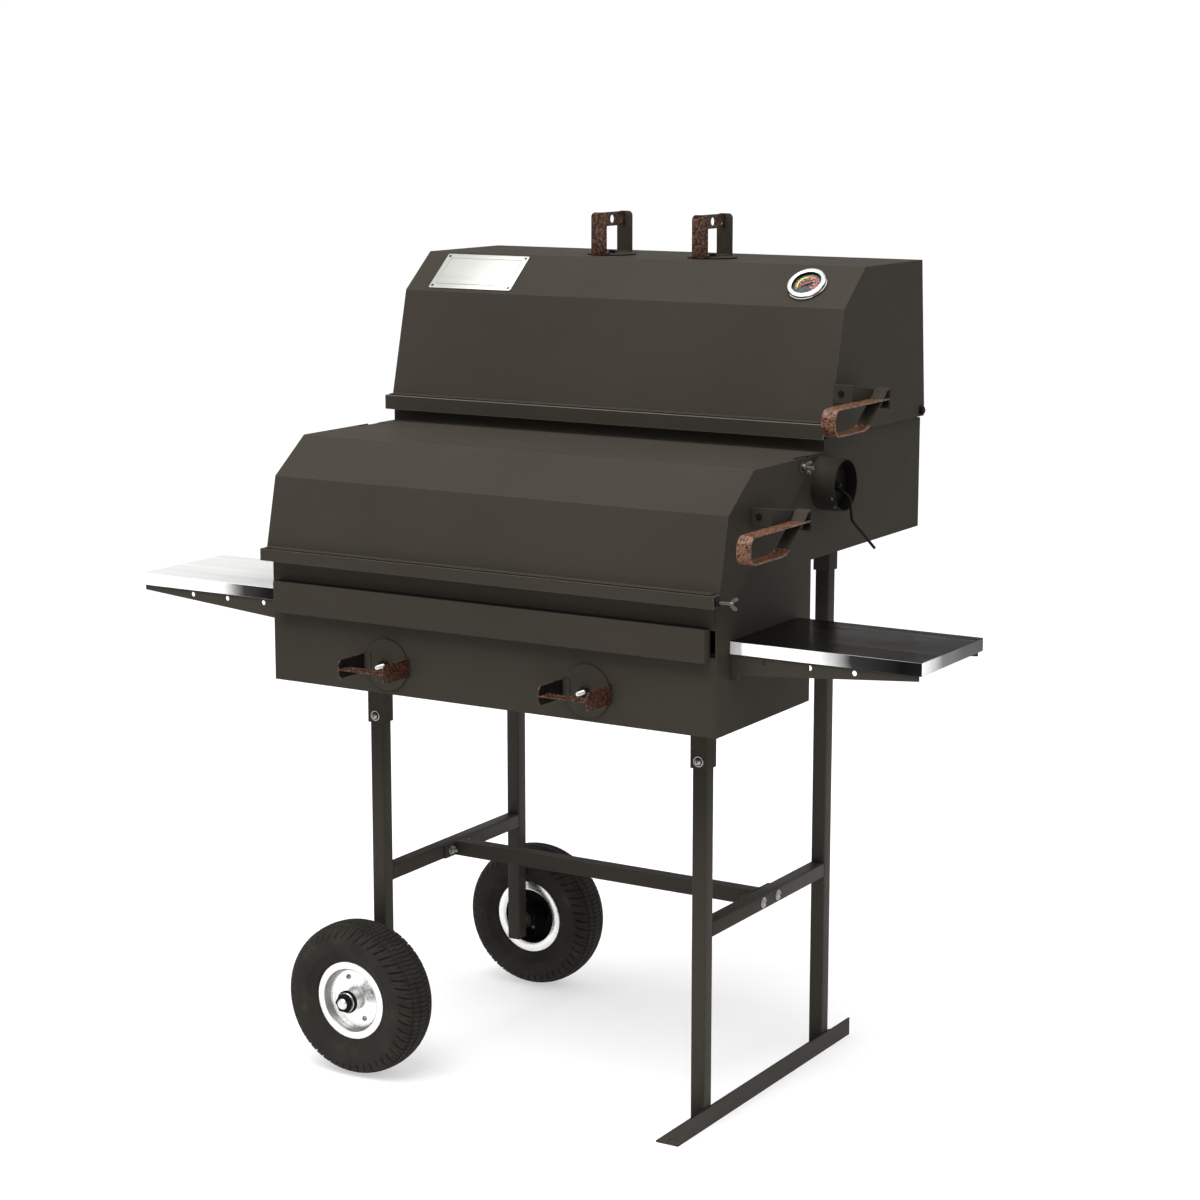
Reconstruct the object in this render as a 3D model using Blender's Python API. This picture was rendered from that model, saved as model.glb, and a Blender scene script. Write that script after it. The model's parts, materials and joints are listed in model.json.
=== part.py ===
"""Two-chamber offset smoker on a wheeled cart.

The lower chamber is the firebox, with a charcoal drawer and two spin dampers in front.
The upper chamber stands higher and behind it, and both have a lid hinged at the rear.
Units are metres. +X is the right side, -Y the front, +Z up. The origin is on the ground,
at the middle of the bounding box. Depths called "back" are measured from the lower
chamber's front face.
"""
import math

import bmesh
import bpy
from mathutils import Matrix, Vector

# Driving dimensions
BODY_HALF_WIDTH = 0.4115
LID_HALF_WIDTH = 0.4185
BODY_DEPTH = 0.7035
FIREBOX_DEPTH = 0.3045
FIREBOX_BOTTOM = 0.675
UPPER_BOTTOM = 0.901
SHEET = 0.003
LID_SHEET = 0.0025
FIT = 0.0003

# Spin dampers
DAMPER_RADIUS = 0.042
DAMPER_EAR = 0.044
DAMPER_EAR_HALF = 0.015
DAMPER_LIFT = 0.0004
DAMPER_HEIGHT = 0.0725
DAMPER_PLATE = 0.0025
DAMPER_STUD = 0.004
FRONT_DAMPER_X = 0.187
FRONT_DAMPER_Z = 0.723
TOP_DAMPER_X = 0.0975
TOP_DAMPER_BACK = 0.548

# The front face stands so that the dampers' tips and the back panel are equally far out
FRONT_Y = -(BODY_DEPTH - DAMPER_HEIGHT) / 2

# Lower lid, as (back, height) points of its outer face
LOWER_LID_FRONT = [(-0.0065, 0.876), (-0.0065, 0.894), (0.0195, 1.008), (0.098, 1.067)]
LOWER_LID_TOP = 1.067
LOWER_LID_REAR = 0.2915
LOWER_PIVOT = (0.256, 1.053)
LOWER_EAR_RADIUS = 0.0215
LOWER_EDGE_SLOPE = 0.69
LOWER_EDGE_START = 0.037

# Upper lid, as (back, height) points of its outer face
UPPER_LID_FRONT = [(0.3455, 1.0885), (0.3942, 1.2866), (0.4687, 1.3485)]
UPPER_LID_TOP_REAR = (0.684, 1.3485)
UPPER_PIVOT = (0.6895, 1.0985)
UPPER_EAR_RADIUS = 0.0095
UPPER_BACK_TOP = 1.085
BOLT = 0.0035

# Lips under the lids' fronts, as (back, height) points
LOWER_LIP = [(-0.0245, 0.8750), (-0.0245, 0.8945), (-0.0069, 0.8945)]
UPPER_LIP = [(0.3275, 1.0868), (0.3275, 1.1112), (0.3498, 1.1112)]
LIP_SCREW = (-0.0147, 0.8848)

# Lower lid's handle; the upper one is the same, further back and up
HANDLE_SHIFT = (0.270, 0.159)
BRACKET_PLAN = [(0.4188, 0.090), (0.4525, 0.090), (0.4525, 0.1735), (0.4775, 0.1735)]
BRACKET_BOTTOM = 0.983
BRACKET_WIDTH = 0.030
BRACKET_FALL = 0.16
STRAP_SIDES = (0.4532, 0.4770)
STRAP_BEND = 0.019

# Grates, as (front, back, height)
LOWER_GRATE = (0.020, 0.300, 0.8713)
UPPER_GRATE = (0.355, 0.698, 0.9883)
GRATE_THICKNESS = 0.006

# Cart
LEG_X = 0.308
LEG_FRONT = 0.148
LEG_REAR = 0.564
LEG_SIZE = 0.025
LEG_WALL = 0.002
SLEEVE_SIZE = 0.030
BAR_Z = 0.3225
STRETCHER_BACK = 0.3565
FOOT_FRONT = 0.047
FOOT_REAR = 0.655
LEFT_LEG_BOTTOM = 0.100
FRONT_SOCKET_BOTTOM = 0.587
REAR_SOCKET_BOTTOM = 0.838
FOOT_WIDTH = 0.040
FOOT_HEIGHT = 0.0305

# Wheels
TYRE_RADIUS = 0.130
TYRE_HALF_WIDTH = 0.044
RIM_RADIUS = 0.0663
HUB_HALF = 0.040
AXLE_RADIUS = 0.010
WHEEL_X = -0.303
FRONT_WHEEL = 0.072
REAR_WHEEL = 0.625

# Shelves
SHELF_OUT = 0.725
SHELF_FRONT = 0.039
SHELF_BACK = 0.258
SHELF_TOP = 0.817
SHELF_FOLD = 0.020

# Drawer
DRAWER_HALF = 0.400
DRAWER_BOTTOM = 0.790
DRAWER_TOP = 0.8425
DRAWER_FACE = -0.0175
TRAY_HALF = 0.385
TRAY_BOTTOM = 0.800
TRAY_TOP = 0.834
TRAY_REAR = 0.292

# Side pipe and its shutter
PIPE_BACK = 0.335
PIPE_Z = 1.018
PIPE_RADIUS = 0.0415
PIPE_WALL = 0.002
PIPE_END = 0.455

# Thermometer and plate on the upper lid's slope
GAUGE_X = 0.335
GAUGE_RADIUS = 0.035
DIAL_RADIUS = 0.026
NEEDLE_TURN = 122
NAME_PLATE_X = -0.2918
NAME_PLATE_HALF = (0.083, 0.042)
NAME_PLATE_CLIP = 0.002

COLOURS = {
    "steel": ((0.045, 0.040, 0.033, 1), 0.0, 0.55),
    "handle": ((0.100, 0.045, 0.025, 1), 0.6, 0.45),
    "black": ((0.012, 0.011, 0.010, 1), 0.0, 0.60),
    "bright": ((0.620, 0.620, 0.600, 1), 1.0, 0.25),
    "rubber": ((0.020, 0.019, 0.018, 1), 0.0, 0.80),
    "zinc": ((0.420, 0.420, 0.400, 1), 0.9, 0.40),
    "glass": ((0.800, 0.850, 0.850, 1), 0.0, 0.05),
    "needle": ((0.600, 0.060, 0.030, 1), 0.0, 0.50),
    "charred": ((0.060, 0.056, 0.052, 1), 0.3, 0.70),
}


def clear_scene():
    for item in list(bpy.data.objects):
        bpy.data.objects.remove(item, do_unlink=True)


def material(name, kind):
    colour, metallic, roughness = COLOURS[kind]
    made = bpy.data.materials.new(name)
    made.use_nodes = True
    shader = made.node_tree.nodes["Principled BSDF"]
    shader.inputs["Base Color"].default_value = colour
    shader.inputs["Metallic"].default_value = metallic
    shader.inputs["Roughness"].default_value = roughness
    made.diffuse_color = colour
    return made


def world(back):
    """Turn a depth behind the front face into a Y coordinate."""
    return FRONT_Y + back


def temporary(bm, name="piece"):
    """Turn a bmesh into an object, with its faces pointing out."""
    bmesh.ops.recalc_face_normals(bm, faces=bm.faces)
    mesh = bpy.data.meshes.new(name)
    bm.to_mesh(mesh)
    bm.free()
    made = bpy.data.objects.new(name, mesh)
    bpy.context.collection.objects.link(made)
    return made


def prism(outline, axis, low, high):
    """Extrude an outline along an axis; it lists the other two coordinates in XYZ order."""
    bm = bmesh.new()
    rings = []
    for place in (low, high):
        ring = []
        for first, second in outline:
            point = [first, second]
            point.insert("XYZ".index(axis), place)
            ring.append(bm.verts.new(point))
        rings.append(ring)
    bm.faces.new(rings[0])
    bm.faces.new(rings[1])
    count = len(outline)
    for index in range(count):
        after = (index + 1) % count
        bm.faces.new((rings[0][index], rings[0][after], rings[1][after], rings[1][index]))
    return temporary(bm)


def box(low, high):
    """A box between two corners."""
    outline = [(low[0], low[1]), (high[0], low[1]), (high[0], high[1]), (low[0], high[1])]
    return prism(outline, "Z", low[2], high[2])


def cylinder(centre, axis, radius, low, high, sides=24):
    """A cylinder or regular prism along an axis; centre lists the other two coordinates."""
    outline = []
    for index in range(sides):
        angle = 2 * math.pi * index / sides
        outline.append((centre[0] + radius * math.cos(angle), centre[1] + radius * math.sin(angle)))
    return prism(outline, axis, low, high)


def yz(points):
    """Turn (back, height) points into world (Y, Z) points."""
    return [(world(back), height) for back, height in points]


def arc(centre, radius, start, end, steps):
    """Points on an arc, with angles in degrees."""
    points = []
    for index in range(steps + 1):
        angle = math.radians(start + (end - start) * index / steps)
        points.append((centre[0] + radius * math.cos(angle), centre[1] + radius * math.sin(angle)))
    return points


def ribbon(points, thickness):
    """Outline of a bent strip: the given points and the same points offset to their right."""
    offset = []
    count = len(points)
    for index, point in enumerate(points):
        before = Vector(points[max(index - 1, 0)])
        after = Vector(points[min(index + 1, count - 1)])
        here = Vector(point)
        first = (here - before).normalized() if index > 0 else (after - here).normalized()
        second = (after - here).normalized() if index < count - 1 else first
        normal_a = Vector((first.y, -first.x))
        normal_b = Vector((second.y, -second.x))
        mitre = (normal_a + normal_b).normalized()
        offset.append(tuple(here + mitre * (thickness / mitre.dot(normal_a))))
    return list(points) + offset[::-1]


def revolve(profile, centre, axis, sides):
    """Turn a closed (along, radius) profile about an axis through centre."""
    bm = bmesh.new()
    rings = []
    for index in range(sides):
        angle = 2 * math.pi * index / sides
        ring = []
        for along, radius in profile:
            across = (radius * math.cos(angle), radius * math.sin(angle))
            point = {"X": (along, across[0], across[1]), "Y": (across[0], along, across[1])}[axis]
            ring.append(bm.verts.new(Vector(centre) + Vector(point)))
        rings.append(ring)
    count = len(profile)
    for index in range(sides):
        ring = rings[index]
        following = rings[(index + 1) % sides]
        for step in range(count):
            after = (step + 1) % count
            bm.faces.new((ring[step], ring[after], following[after], following[step]))
    return temporary(bm)


def combine(base, tools, operation):
    """Apply Boolean tools to a base object, one after the other, and remove them."""
    for tool in tools:
        modifier = base.modifiers.new("cut", "BOOLEAN")
        modifier.operation = operation
        modifier.object = tool
        modifier.solver = "EXACT"
        graph = bpy.context.evaluated_depsgraph_get()
        mesh = bpy.data.meshes.new_from_object(base.evaluated_get(graph))
        base.modifiers.clear()
        base.data = mesh
        bpy.data.objects.remove(tool, do_unlink=True)
    return base


def finish(name, kind, base, add=(), cut=(), pivot=(0, 0, 0)):
    """Join and cut a piece, name it, and set its origin and material."""
    combine(base, add, "UNION")
    combine(base, cut, "DIFFERENCE")
    base.data.transform(Matrix.Translation(-Vector(pivot)))
    base.location = pivot
    base.name = name
    base.data.name = name
    base.data.materials.clear()
    base.data.materials.append(material(name, kind))
    base.data.shade_smooth()
    base.data.set_sharp_from_angle(angle=math.radians(30))
    return base


def placed(base, matrix):
    """Move a piece that was made in local axes into the world."""
    base.data.transform(matrix)
    return base


def frame(origin, along_u, along_w):
    """Matrix from local (u, v, w) axes to the world; w points out of the panel."""
    third = Vector(along_w).normalized()
    first = Vector(along_u).normalized()
    second = third.cross(first)
    matrix = Matrix((first, second, third)).transposed().to_4x4()
    matrix.translation = Vector(origin)
    return matrix


def lower_edge_height(back):
    """Height of the lower lid's slanted side edge."""
    return LOWER_LID_FRONT[0][1] + LOWER_EDGE_SLOPE * (back - LOWER_EDGE_START)


# Chambers

def side_plate(side):
    """One side of both chambers, with the ledges that carry the grates and the drawer."""
    overlap = 0.012
    neck = 0.236
    outline = [
        (0, FIREBOX_BOTTOM), (FIREBOX_DEPTH, FIREBOX_BOTTOM), (FIREBOX_DEPTH, UPPER_BOTTOM),
        (BODY_DEPTH, UPPER_BOTTOM), (BODY_DEPTH, UPPER_BACK_TOP),
        (UPPER_PIVOT[0] - 0.001, UPPER_BACK_TOP - 0.0012),
        *arc(UPPER_PIVOT, UPPER_EAR_RADIUS, -95, 180, 8),
        (0.353, 1.098), (0.353, 1.0862), (0.345, 1.0862),
        (0.345, LOWER_LID_TOP), (0.2955, LOWER_LID_TOP), (0.2955, 1.0625), (neck, 1.0625),
        (neck, lower_edge_height(neck) + overlap),
        (LOWER_EDGE_START, LOWER_LID_FRONT[0][1] + overlap), (0, LOWER_LID_FRONT[0][1] + overlap),
    ]
    outer = BODY_HALF_WIDTH
    inner = BODY_HALF_WIDTH - SHEET
    base = prism(yz(outline), "X", side * inner, side * outer)
    ledges = []
    for front, back, top, width in ((0.010, 0.296, 0.7995, 0.028), (0.020, 0.290, 0.871, 0.014),
                                    (0.360, 0.690, 0.988, 0.014)):
        ends = sorted((side * (inner - width), side * (outer - 0.001)))
        ledges.append(box((ends[0], world(front), top - SHEET), (ends[1], world(back), top)))
    low, high = sorted((side * (inner - 0.01), side * (outer + 0.01)))
    holes = []
    for back, height in (LOWER_PIVOT, UPPER_PIVOT):
        holes.append(cylinder((world(back), height), "X", BOLT + FIT, low, high, 16))
    if side > 0:
        holes.append(cylinder((world(PIPE_BACK), PIPE_Z), "X", PIPE_RADIUS - PIPE_WALL, low, high, 32))
    name = "side_plate_right" if side > 0 else "side_plate_left"
    finish(name, "steel", base, ledges, holes)


def chamber_panels():
    """The flat and bent sheets between the side plates."""
    half = BODY_HALF_WIDTH - SHEET - FIT
    ports = []
    studs = []
    for side in (-1, 1):
        x = side * FRONT_DAMPER_X
        for angle in (45, 135, 225, 315):
            across = 0.022 * math.cos(math.radians(angle))
            up = 0.022 * math.sin(math.radians(angle))
            ports.append(cylinder((x + across, FRONT_DAMPER_Z + up), "Y", 0.010,
                                  world(-0.01), world(0.01), 14))
        studs.append(cylinder((x, FRONT_DAMPER_Z), "Y", DAMPER_STUD, world(-0.030), world(0.002), 12))
    front = box((-half, world(0), FIREBOX_BOTTOM), (half, world(SHEET), 0.797))
    finish("lower_front_panel", "steel", front, studs, ports)

    rail = ribbon(yz([(0, 0.838), (0, 0.8735), (0.018, 0.8735)]), SHEET)
    finish("front_top_rail", "steel", prism(rail, "X", -half, half))

    floor = box((-half, world(SHEET + FIT), FIREBOX_BOTTOM),
                (half, world(FIREBOX_DEPTH - SHEET - FIT), FIREBOX_BOTTOM + SHEET))
    finish("firebox_floor", "steel", floor, sleeves(LEG_FRONT, FIREBOX_BOTTOM, FRONT_SOCKET_BOTTOM),
           sleeve_cores(LEG_FRONT, FIREBOX_BOTTOM, FRONT_SOCKET_BOTTOM))

    back = box((-half, world(FIREBOX_DEPTH - SHEET), FIREBOX_BOTTOM),
               (half, world(FIREBOX_DEPTH), UPPER_BOTTOM - FIT))
    finish("firebox_back", "steel", back)

    floor = box((-half, world(FIREBOX_DEPTH - SHEET), UPPER_BOTTOM),
                (half, world(BODY_DEPTH - SHEET - FIT), UPPER_BOTTOM + SHEET))
    finish("upper_floor", "steel", floor, sleeves(LEG_REAR, UPPER_BOTTOM, REAR_SOCKET_BOTTOM),
           sleeve_cores(LEG_REAR, UPPER_BOTTOM, REAR_SOCKET_BOTTOM))

    back = box((-half, world(BODY_DEPTH - SHEET), UPPER_BOTTOM),
               (half, world(BODY_DEPTH), UPPER_BACK_TOP))
    finish("upper_back_panel", "steel", back)

    rail = ribbon(yz([(0.2955, LOWER_LID_TOP), (0.345, LOWER_LID_TOP), (0.345, 1.0862)]), LID_SHEET)
    finish("mid_rail", "steel", prism(rail, "X", -half, half))


def sleeves(back, top, bottom):
    """Square sockets for two legs, welded under a floor."""
    made = []
    for side in (-1, 1):
        x = side * LEG_X
        half = SLEEVE_SIZE / 2
        made.append(box((x - half, world(back) - half, bottom), (x + half, world(back) + half, top + 0.001)))
    return made


def sleeve_cores(back, top, bottom):
    """Cutters for the inside of the leg sockets."""
    made = []
    for side in (-1, 1):
        x = side * LEG_X
        half = LEG_SIZE / 2 + FIT
        made.append(box((x - half, world(back) - half, bottom - 0.01),
                        (x + half, world(back) + half, top - FIT)))
    return made


def grate(name, place):
    """A cooking grate: a frame with bars, as a slotted plate."""
    front, back, height = place
    half = BODY_HALF_WIDTH - SHEET - 0.001
    base = box((-half, world(front), height), (half, world(back), height + GRATE_THICKNESS))
    slots = []
    bars = 16
    pitch = (2 * half - 0.012) / bars
    for index in range(bars):
        low = -half + 0.009 + index * pitch
        slots.append(box((low, world(front) + 0.010, height - 0.01),
                         (low + pitch - 0.006, world(back) - 0.010, height + 0.02)))
    finish(name, "charred", base, (), slots)


def drawer():
    """The charcoal drawer: a folded front panel and a slotted tray."""
    pivot = (0, world(0), DRAWER_BOTTOM)
    base = box((-DRAWER_HALF, world(DRAWER_FACE), DRAWER_BOTTOM), (DRAWER_HALF, world(-0.0006), DRAWER_TOP))
    wall = 0.002
    hollow = box((-DRAWER_HALF + wall, world(DRAWER_FACE + wall), DRAWER_BOTTOM + wall),
                 (DRAWER_HALF - wall, world(0.01), DRAWER_TOP - wall))
    finish("drawer_front", "steel", base, (), [hollow], pivot)

    front = DRAWER_FACE + wall + FIT
    base = box((-TRAY_HALF, world(front), TRAY_BOTTOM), (TRAY_HALF, world(TRAY_REAR), TRAY_TOP))
    cuts = [box((-TRAY_HALF + wall, world(front + wall), TRAY_BOTTOM + wall),
                (TRAY_HALF - wall, world(TRAY_REAR - wall), TRAY_TOP + 0.01))]
    slots = 22
    slot = 0.007
    pitch = 2 * TRAY_HALF / slots
    for index in range(slots):
        middle = -TRAY_HALF + (index + 0.5) * pitch
        cuts.append(box((middle - slot / 2, world(0.03), TRAY_BOTTOM - 0.01),
                        (middle + slot / 2, world(0.27), TRAY_BOTTOM + 0.01)))
    finish("charcoal_tray", "charred", base, (), cuts, pivot)


# Lids

def lid_side_holes(pivot):
    """Cutters for both hinge holes of a lid."""
    reach = LID_HALF_WIDTH + 0.01
    return [cylinder((world(pivot[0]), pivot[1]), "X", BOLT + FIT, side * (reach - 0.02), side * reach, 16)
            for side in (-1, 1)]


def lid_shell(name, skin, cheek, pivot, cut):
    """A lid: one bent skin with a welded cheek at each end."""
    base = prism(ribbon(yz(skin), LID_SHEET), "X", -LID_HALF_WIDTH, LID_HALF_WIDTH)
    cheeks = []
    for side in (-1, 1):
        outer = side * (LID_HALF_WIDTH - 0.0001)
        cheeks.append(prism(yz(cheek), "X", side * (LID_HALF_WIDTH - SHEET), outer))
    cut = list(cut) + lid_side_holes(pivot)
    finish(name, "steel", base, cheeks, cut, (0, world(pivot[0]), pivot[1]))


def inset(points, amount):
    """Shift an outline's points slightly towards its middle."""
    middle = Vector((0, 0))
    for point in points:
        middle += Vector(point) / len(points)
    return [tuple(Vector(point) + (middle - Vector(point)).normalized() * amount) for point in points]


def lower_lid():
    skin = LOWER_LID_FRONT + [(LOWER_LID_REAR, LOWER_LID_TOP)]
    start = math.degrees(math.asin((LOWER_LID_TOP - 0.001 - LOWER_PIVOT[1]) / LOWER_EAR_RADIUS))
    end = -math.degrees(math.atan(1 / LOWER_EDGE_SLOPE))
    ear = arc(LOWER_PIVOT, LOWER_EAR_RADIUS, start, end, 8)
    cheek = inset(LOWER_LID_FRONT, 0.0008) + ear + [(LOWER_EDGE_START, LOWER_LID_FRONT[0][1])]
    notches = []
    for side in (-1, 1):
        for front, reach in ((0.240, LID_HALF_WIDTH - SHEET), (0.2735, LID_HALF_WIDTH + 0.01)):
            ends = sorted((side * (BODY_HALF_WIDTH - 0.004), side * reach))
            notches.append(box((ends[0], world(front), LOWER_LID_TOP - 0.01),
                               (ends[1], world(0.30), LOWER_LID_TOP + 0.01)))
    lid_shell("lower_lid_shell", skin, cheek, LOWER_PIVOT, notches)
    pivot = (0, world(LOWER_PIVOT[0]), LOWER_PIVOT[1])
    tab = box((LID_HALF_WIDTH - SHEET, world(-0.0230), 0.8755),
              (LID_HALF_WIDTH - 0.0005, world(-0.0074), 0.8930))
    hole = cylinder((world(LIP_SCREW[0]), LIP_SCREW[1]), "X", 0.0031, 0.40, 0.43, 16)
    lip = prism(ribbon(yz(LOWER_LIP), LID_SHEET), "X", -LID_HALF_WIDTH, LID_HALF_WIDTH)
    finish("lower_lid_lip", "steel", lip, [tab], [hole], pivot)
    lid_handle("lower", 0.0, 0.0, pivot)


def upper_lid():
    foot = (BODY_DEPTH, UPPER_PIVOT[1])
    skin = UPPER_LID_FRONT + [UPPER_LID_TOP_REAR, foot]
    cheek = inset(skin, 0.0008) + [(BODY_DEPTH - 0.001, 1.0885)]
    cuts = [placed(cylinder((0, 0), "Z", 0.0045, -0.01, 0.01, 16), slope_frame(GAUGE_X))]
    nuts = []
    for side in (-1, 1):
        x = side * TOP_DAMPER_X
        for angle in (45, 135, 225, 315):
            across = 0.022 * math.cos(math.radians(angle))
            back = 0.022 * math.sin(math.radians(angle))
            cuts.append(cylinder((x + across, world(TOP_DAMPER_BACK) + back), "Z", 0.010, 1.33, 1.36, 14))
        nuts.append(cylinder((x, world(TOP_DAMPER_BACK)), "Z", 0.008, 1.337, 1.347, 6))
        cuts.append(cylinder((x, world(TOP_DAMPER_BACK)), "Z", DAMPER_STUD + 0.0005, 1.32, 1.36, 12))
    lid_shell("upper_lid_shell", skin, cheek, UPPER_PIVOT, [])
    shell = bpy.data.objects["upper_lid_shell"]
    back_to_pivot = Matrix.Translation(-shell.location)
    for tool in nuts + cuts:
        tool.data.transform(back_to_pivot)
        tool.location = shell.location
    combine(shell, nuts, "UNION")
    combine(shell, cuts, "DIFFERENCE")
    pivot = (0, world(UPPER_PIVOT[0]), UPPER_PIVOT[1])
    lip = prism(ribbon(yz(UPPER_LIP), LID_SHEET), "X", -LID_HALF_WIDTH, LID_HALF_WIDTH)
    finish("upper_lid_lip", "steel", lip, pivot=pivot)
    lid_handle("upper", *HANDLE_SHIFT, pivot)


def lid_handle(which, back, up, pivot):
    """A bent bracket on the lid's right cheek, and the strap loop that it carries."""
    plan = ribbon([(x, world(y + back)) for x, y in BRACKET_PLAN], -LID_SHEET)
    bracket = prism(plan, "Z", BRACKET_BOTTOM + up, BRACKET_BOTTOM + BRACKET_WIDTH + up)
    for vertex in bracket.data.vertices:
        vertex.co.z -= (vertex.co.y - world(BRACKET_PLAN[0][1] + back)) * BRACKET_FALL
    finish(which + "_handle_bracket", "steel", bracket, pivot=pivot)

    low, high = STRAP_SIDES
    tip = 0.1731
    bend = STRAP_BEND
    front = -0.0215
    top = 0.9845
    bottom = 0.9425
    loop = [(tip, top), (front + bend, top)]
    loop += arc((front + bend, top - bend), bend, 90, 180, 6)[1:]
    loop += arc((front + bend, bottom + bend), bend, 180, 270, 6)
    loop += [(0.098, bottom), (0.118, 0.948), (0.158, 0.988), (tip, 0.998)]
    moved = yz([(y + back, z + up) for y, z in loop])
    strap = prism(ribbon(moved[:-3], -LID_SHEET), "X", low, high)
    stay = prism(ribbon(moved[-4:], -LID_SHEET), "X", low + 0.0005, high - 0.0005)
    finish(which + "_handle_strap", "handle", strap, [stay], (), pivot)


def hinge_bolts():
    """Four hinge bolts; the lower right one is held by a wing nut."""
    for which, pivot in (("lower", LOWER_PIVOT), ("upper", UPPER_PIVOT)):
        for side, hand in ((-1, "left"), (1, "right")):
            centre = (world(pivot[0]), pivot[1])
            inside = BODY_HALF_WIDTH - SHEET - FIT
            outside = LID_HALF_WIDTH + FIT
            ends = sorted((side * (inside - 0.008), side * (outside + 0.003)))
            shaft = cylinder(centre, "X", BOLT, ends[0], ends[1], 16)
            ends = sorted((side * (inside - 0.006), side * inside))
            pieces = [cylinder(centre, "X", 0.0065, ends[0], ends[1], 6)]
            ends = sorted((side * outside, side * (outside + 0.006)))
            sides = 6
            if (which, hand) == ("lower", "right"):
                sides = 16
                pieces += wings(centre, outside + 0.003, 0.0025, 0.016, 30)
            pieces.append(cylinder(centre, "X", 0.0068, ends[0], ends[1], sides))
            finish(which + "_hinge_bolt_" + hand, "zinc", shaft, pieces)


def wings(centre, start, thick, reach, tilt):
    """Two blades of a wing nut or wing screw about an X axis, leaning outwards."""
    outline = [(0, 0.002), (0, 0.007), (0.010, reach), (0.018, reach), (0.020, reach - 0.005),
               (0.006, 0.002)]
    made = []
    for turn in (0, 180):
        spin = Matrix.Rotation(math.radians(tilt + turn), 4, "X")
        move = Matrix.Translation((start, centre[0], centre[1]))
        made.append(placed(prism(outline, "Z", -thick / 2, thick / 2), move @ spin))
    return made


def wing_screw():
    """The wing screw in the right end of the lower lid's lip."""
    centre = (world(LIP_SCREW[0]), LIP_SCREW[1])
    shaft = cylinder(centre, "X", 0.0028, 0.400, 0.448, 16)
    collar = cylinder(centre, "X", 0.0085, LID_HALF_WIDTH + FIT, 0.4235, 6)
    hub = cylinder(centre, "X", 0.0045, 0.4400, 0.4500, 16)
    finish("lip_wing_screw", "zinc", shaft, [collar, hub] + wings(centre, 0.444, 0.0025, 0.014, 35), (),
           (LID_HALF_WIDTH, centre[0], centre[1]))


# Fittings on the upper lid

def slope_frame(x):
    """Local axes on the upper lid's slope, with w pointing out of it."""
    low = Vector(UPPER_LID_FRONT[1])
    high = Vector(UPPER_LID_FRONT[2])
    middle = (low + high) / 2
    slope = (high - low).normalized()
    normal = (0, -slope.y, slope.x)
    return frame((x, world(middle.x), middle.y), (1, 0, 0), normal)


def thermometer():
    matrix = slope_frame(GAUGE_X)
    case = placed(cylinder((0, 0), "Z", GAUGE_RADIUS, FIT, 0.010, 48), matrix)
    stem = placed(cylinder((0, 0), "Z", 0.004, -0.070, 0.002, 16), matrix)
    bore = placed(cylinder((0, 0), "Z", DIAL_RADIUS, 0.004, 0.02, 48), matrix)
    pin = placed(cylinder((0, 0), "Z", 0.0012, 0.003, 0.0070, 12), matrix)
    finish("thermometer_case", "bright", case, [stem], [bore])
    combine(bpy.data.objects["thermometer_case"], [pin], "UNION")
    lens = placed(cylinder((0, 0), "Z", DIAL_RADIUS - FIT, 0.0078, 0.0092, 48), matrix)
    finish("thermometer_glass", "glass", lens)
    pointer = [(-0.0022, -0.0090), (0.0022, -0.0090), (0.0026, 0.0015), (0.0005, 0.0195), (-0.0005, 0.0195),
               (-0.0026, 0.0015)]
    turn = Matrix.Rotation(math.radians(NEEDLE_TURN), 4, "Z")
    needle = placed(prism(pointer, "Z", 0.0055, 0.0063), matrix @ turn)
    hole = placed(cylinder((0, 0), "Z", 0.0016, 0.0, 0.02, 12), matrix)
    pivot = matrix @ Vector((0, 0, 0.0059))
    finish("thermometer_needle", "needle", needle, (), [hole], tuple(pivot))


def name_plate():
    """A plain riveted plate with clipped corners."""
    half_x, half_y = NAME_PLATE_HALF
    near_x = half_x - NAME_PLATE_CLIP
    near_y = half_y - NAME_PLATE_CLIP
    outline = [(near_x, -half_y), (half_x, -near_y), (half_x, near_y), (near_x, half_y),
               (-near_x, half_y), (-half_x, near_y), (-half_x, -near_y), (-near_x, -half_y)]
    finish("name_plate", "bright", placed(prism(outline, "Z", FIT, 0.0018), slope_frame(NAME_PLATE_X)))


# Spin dampers

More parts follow.
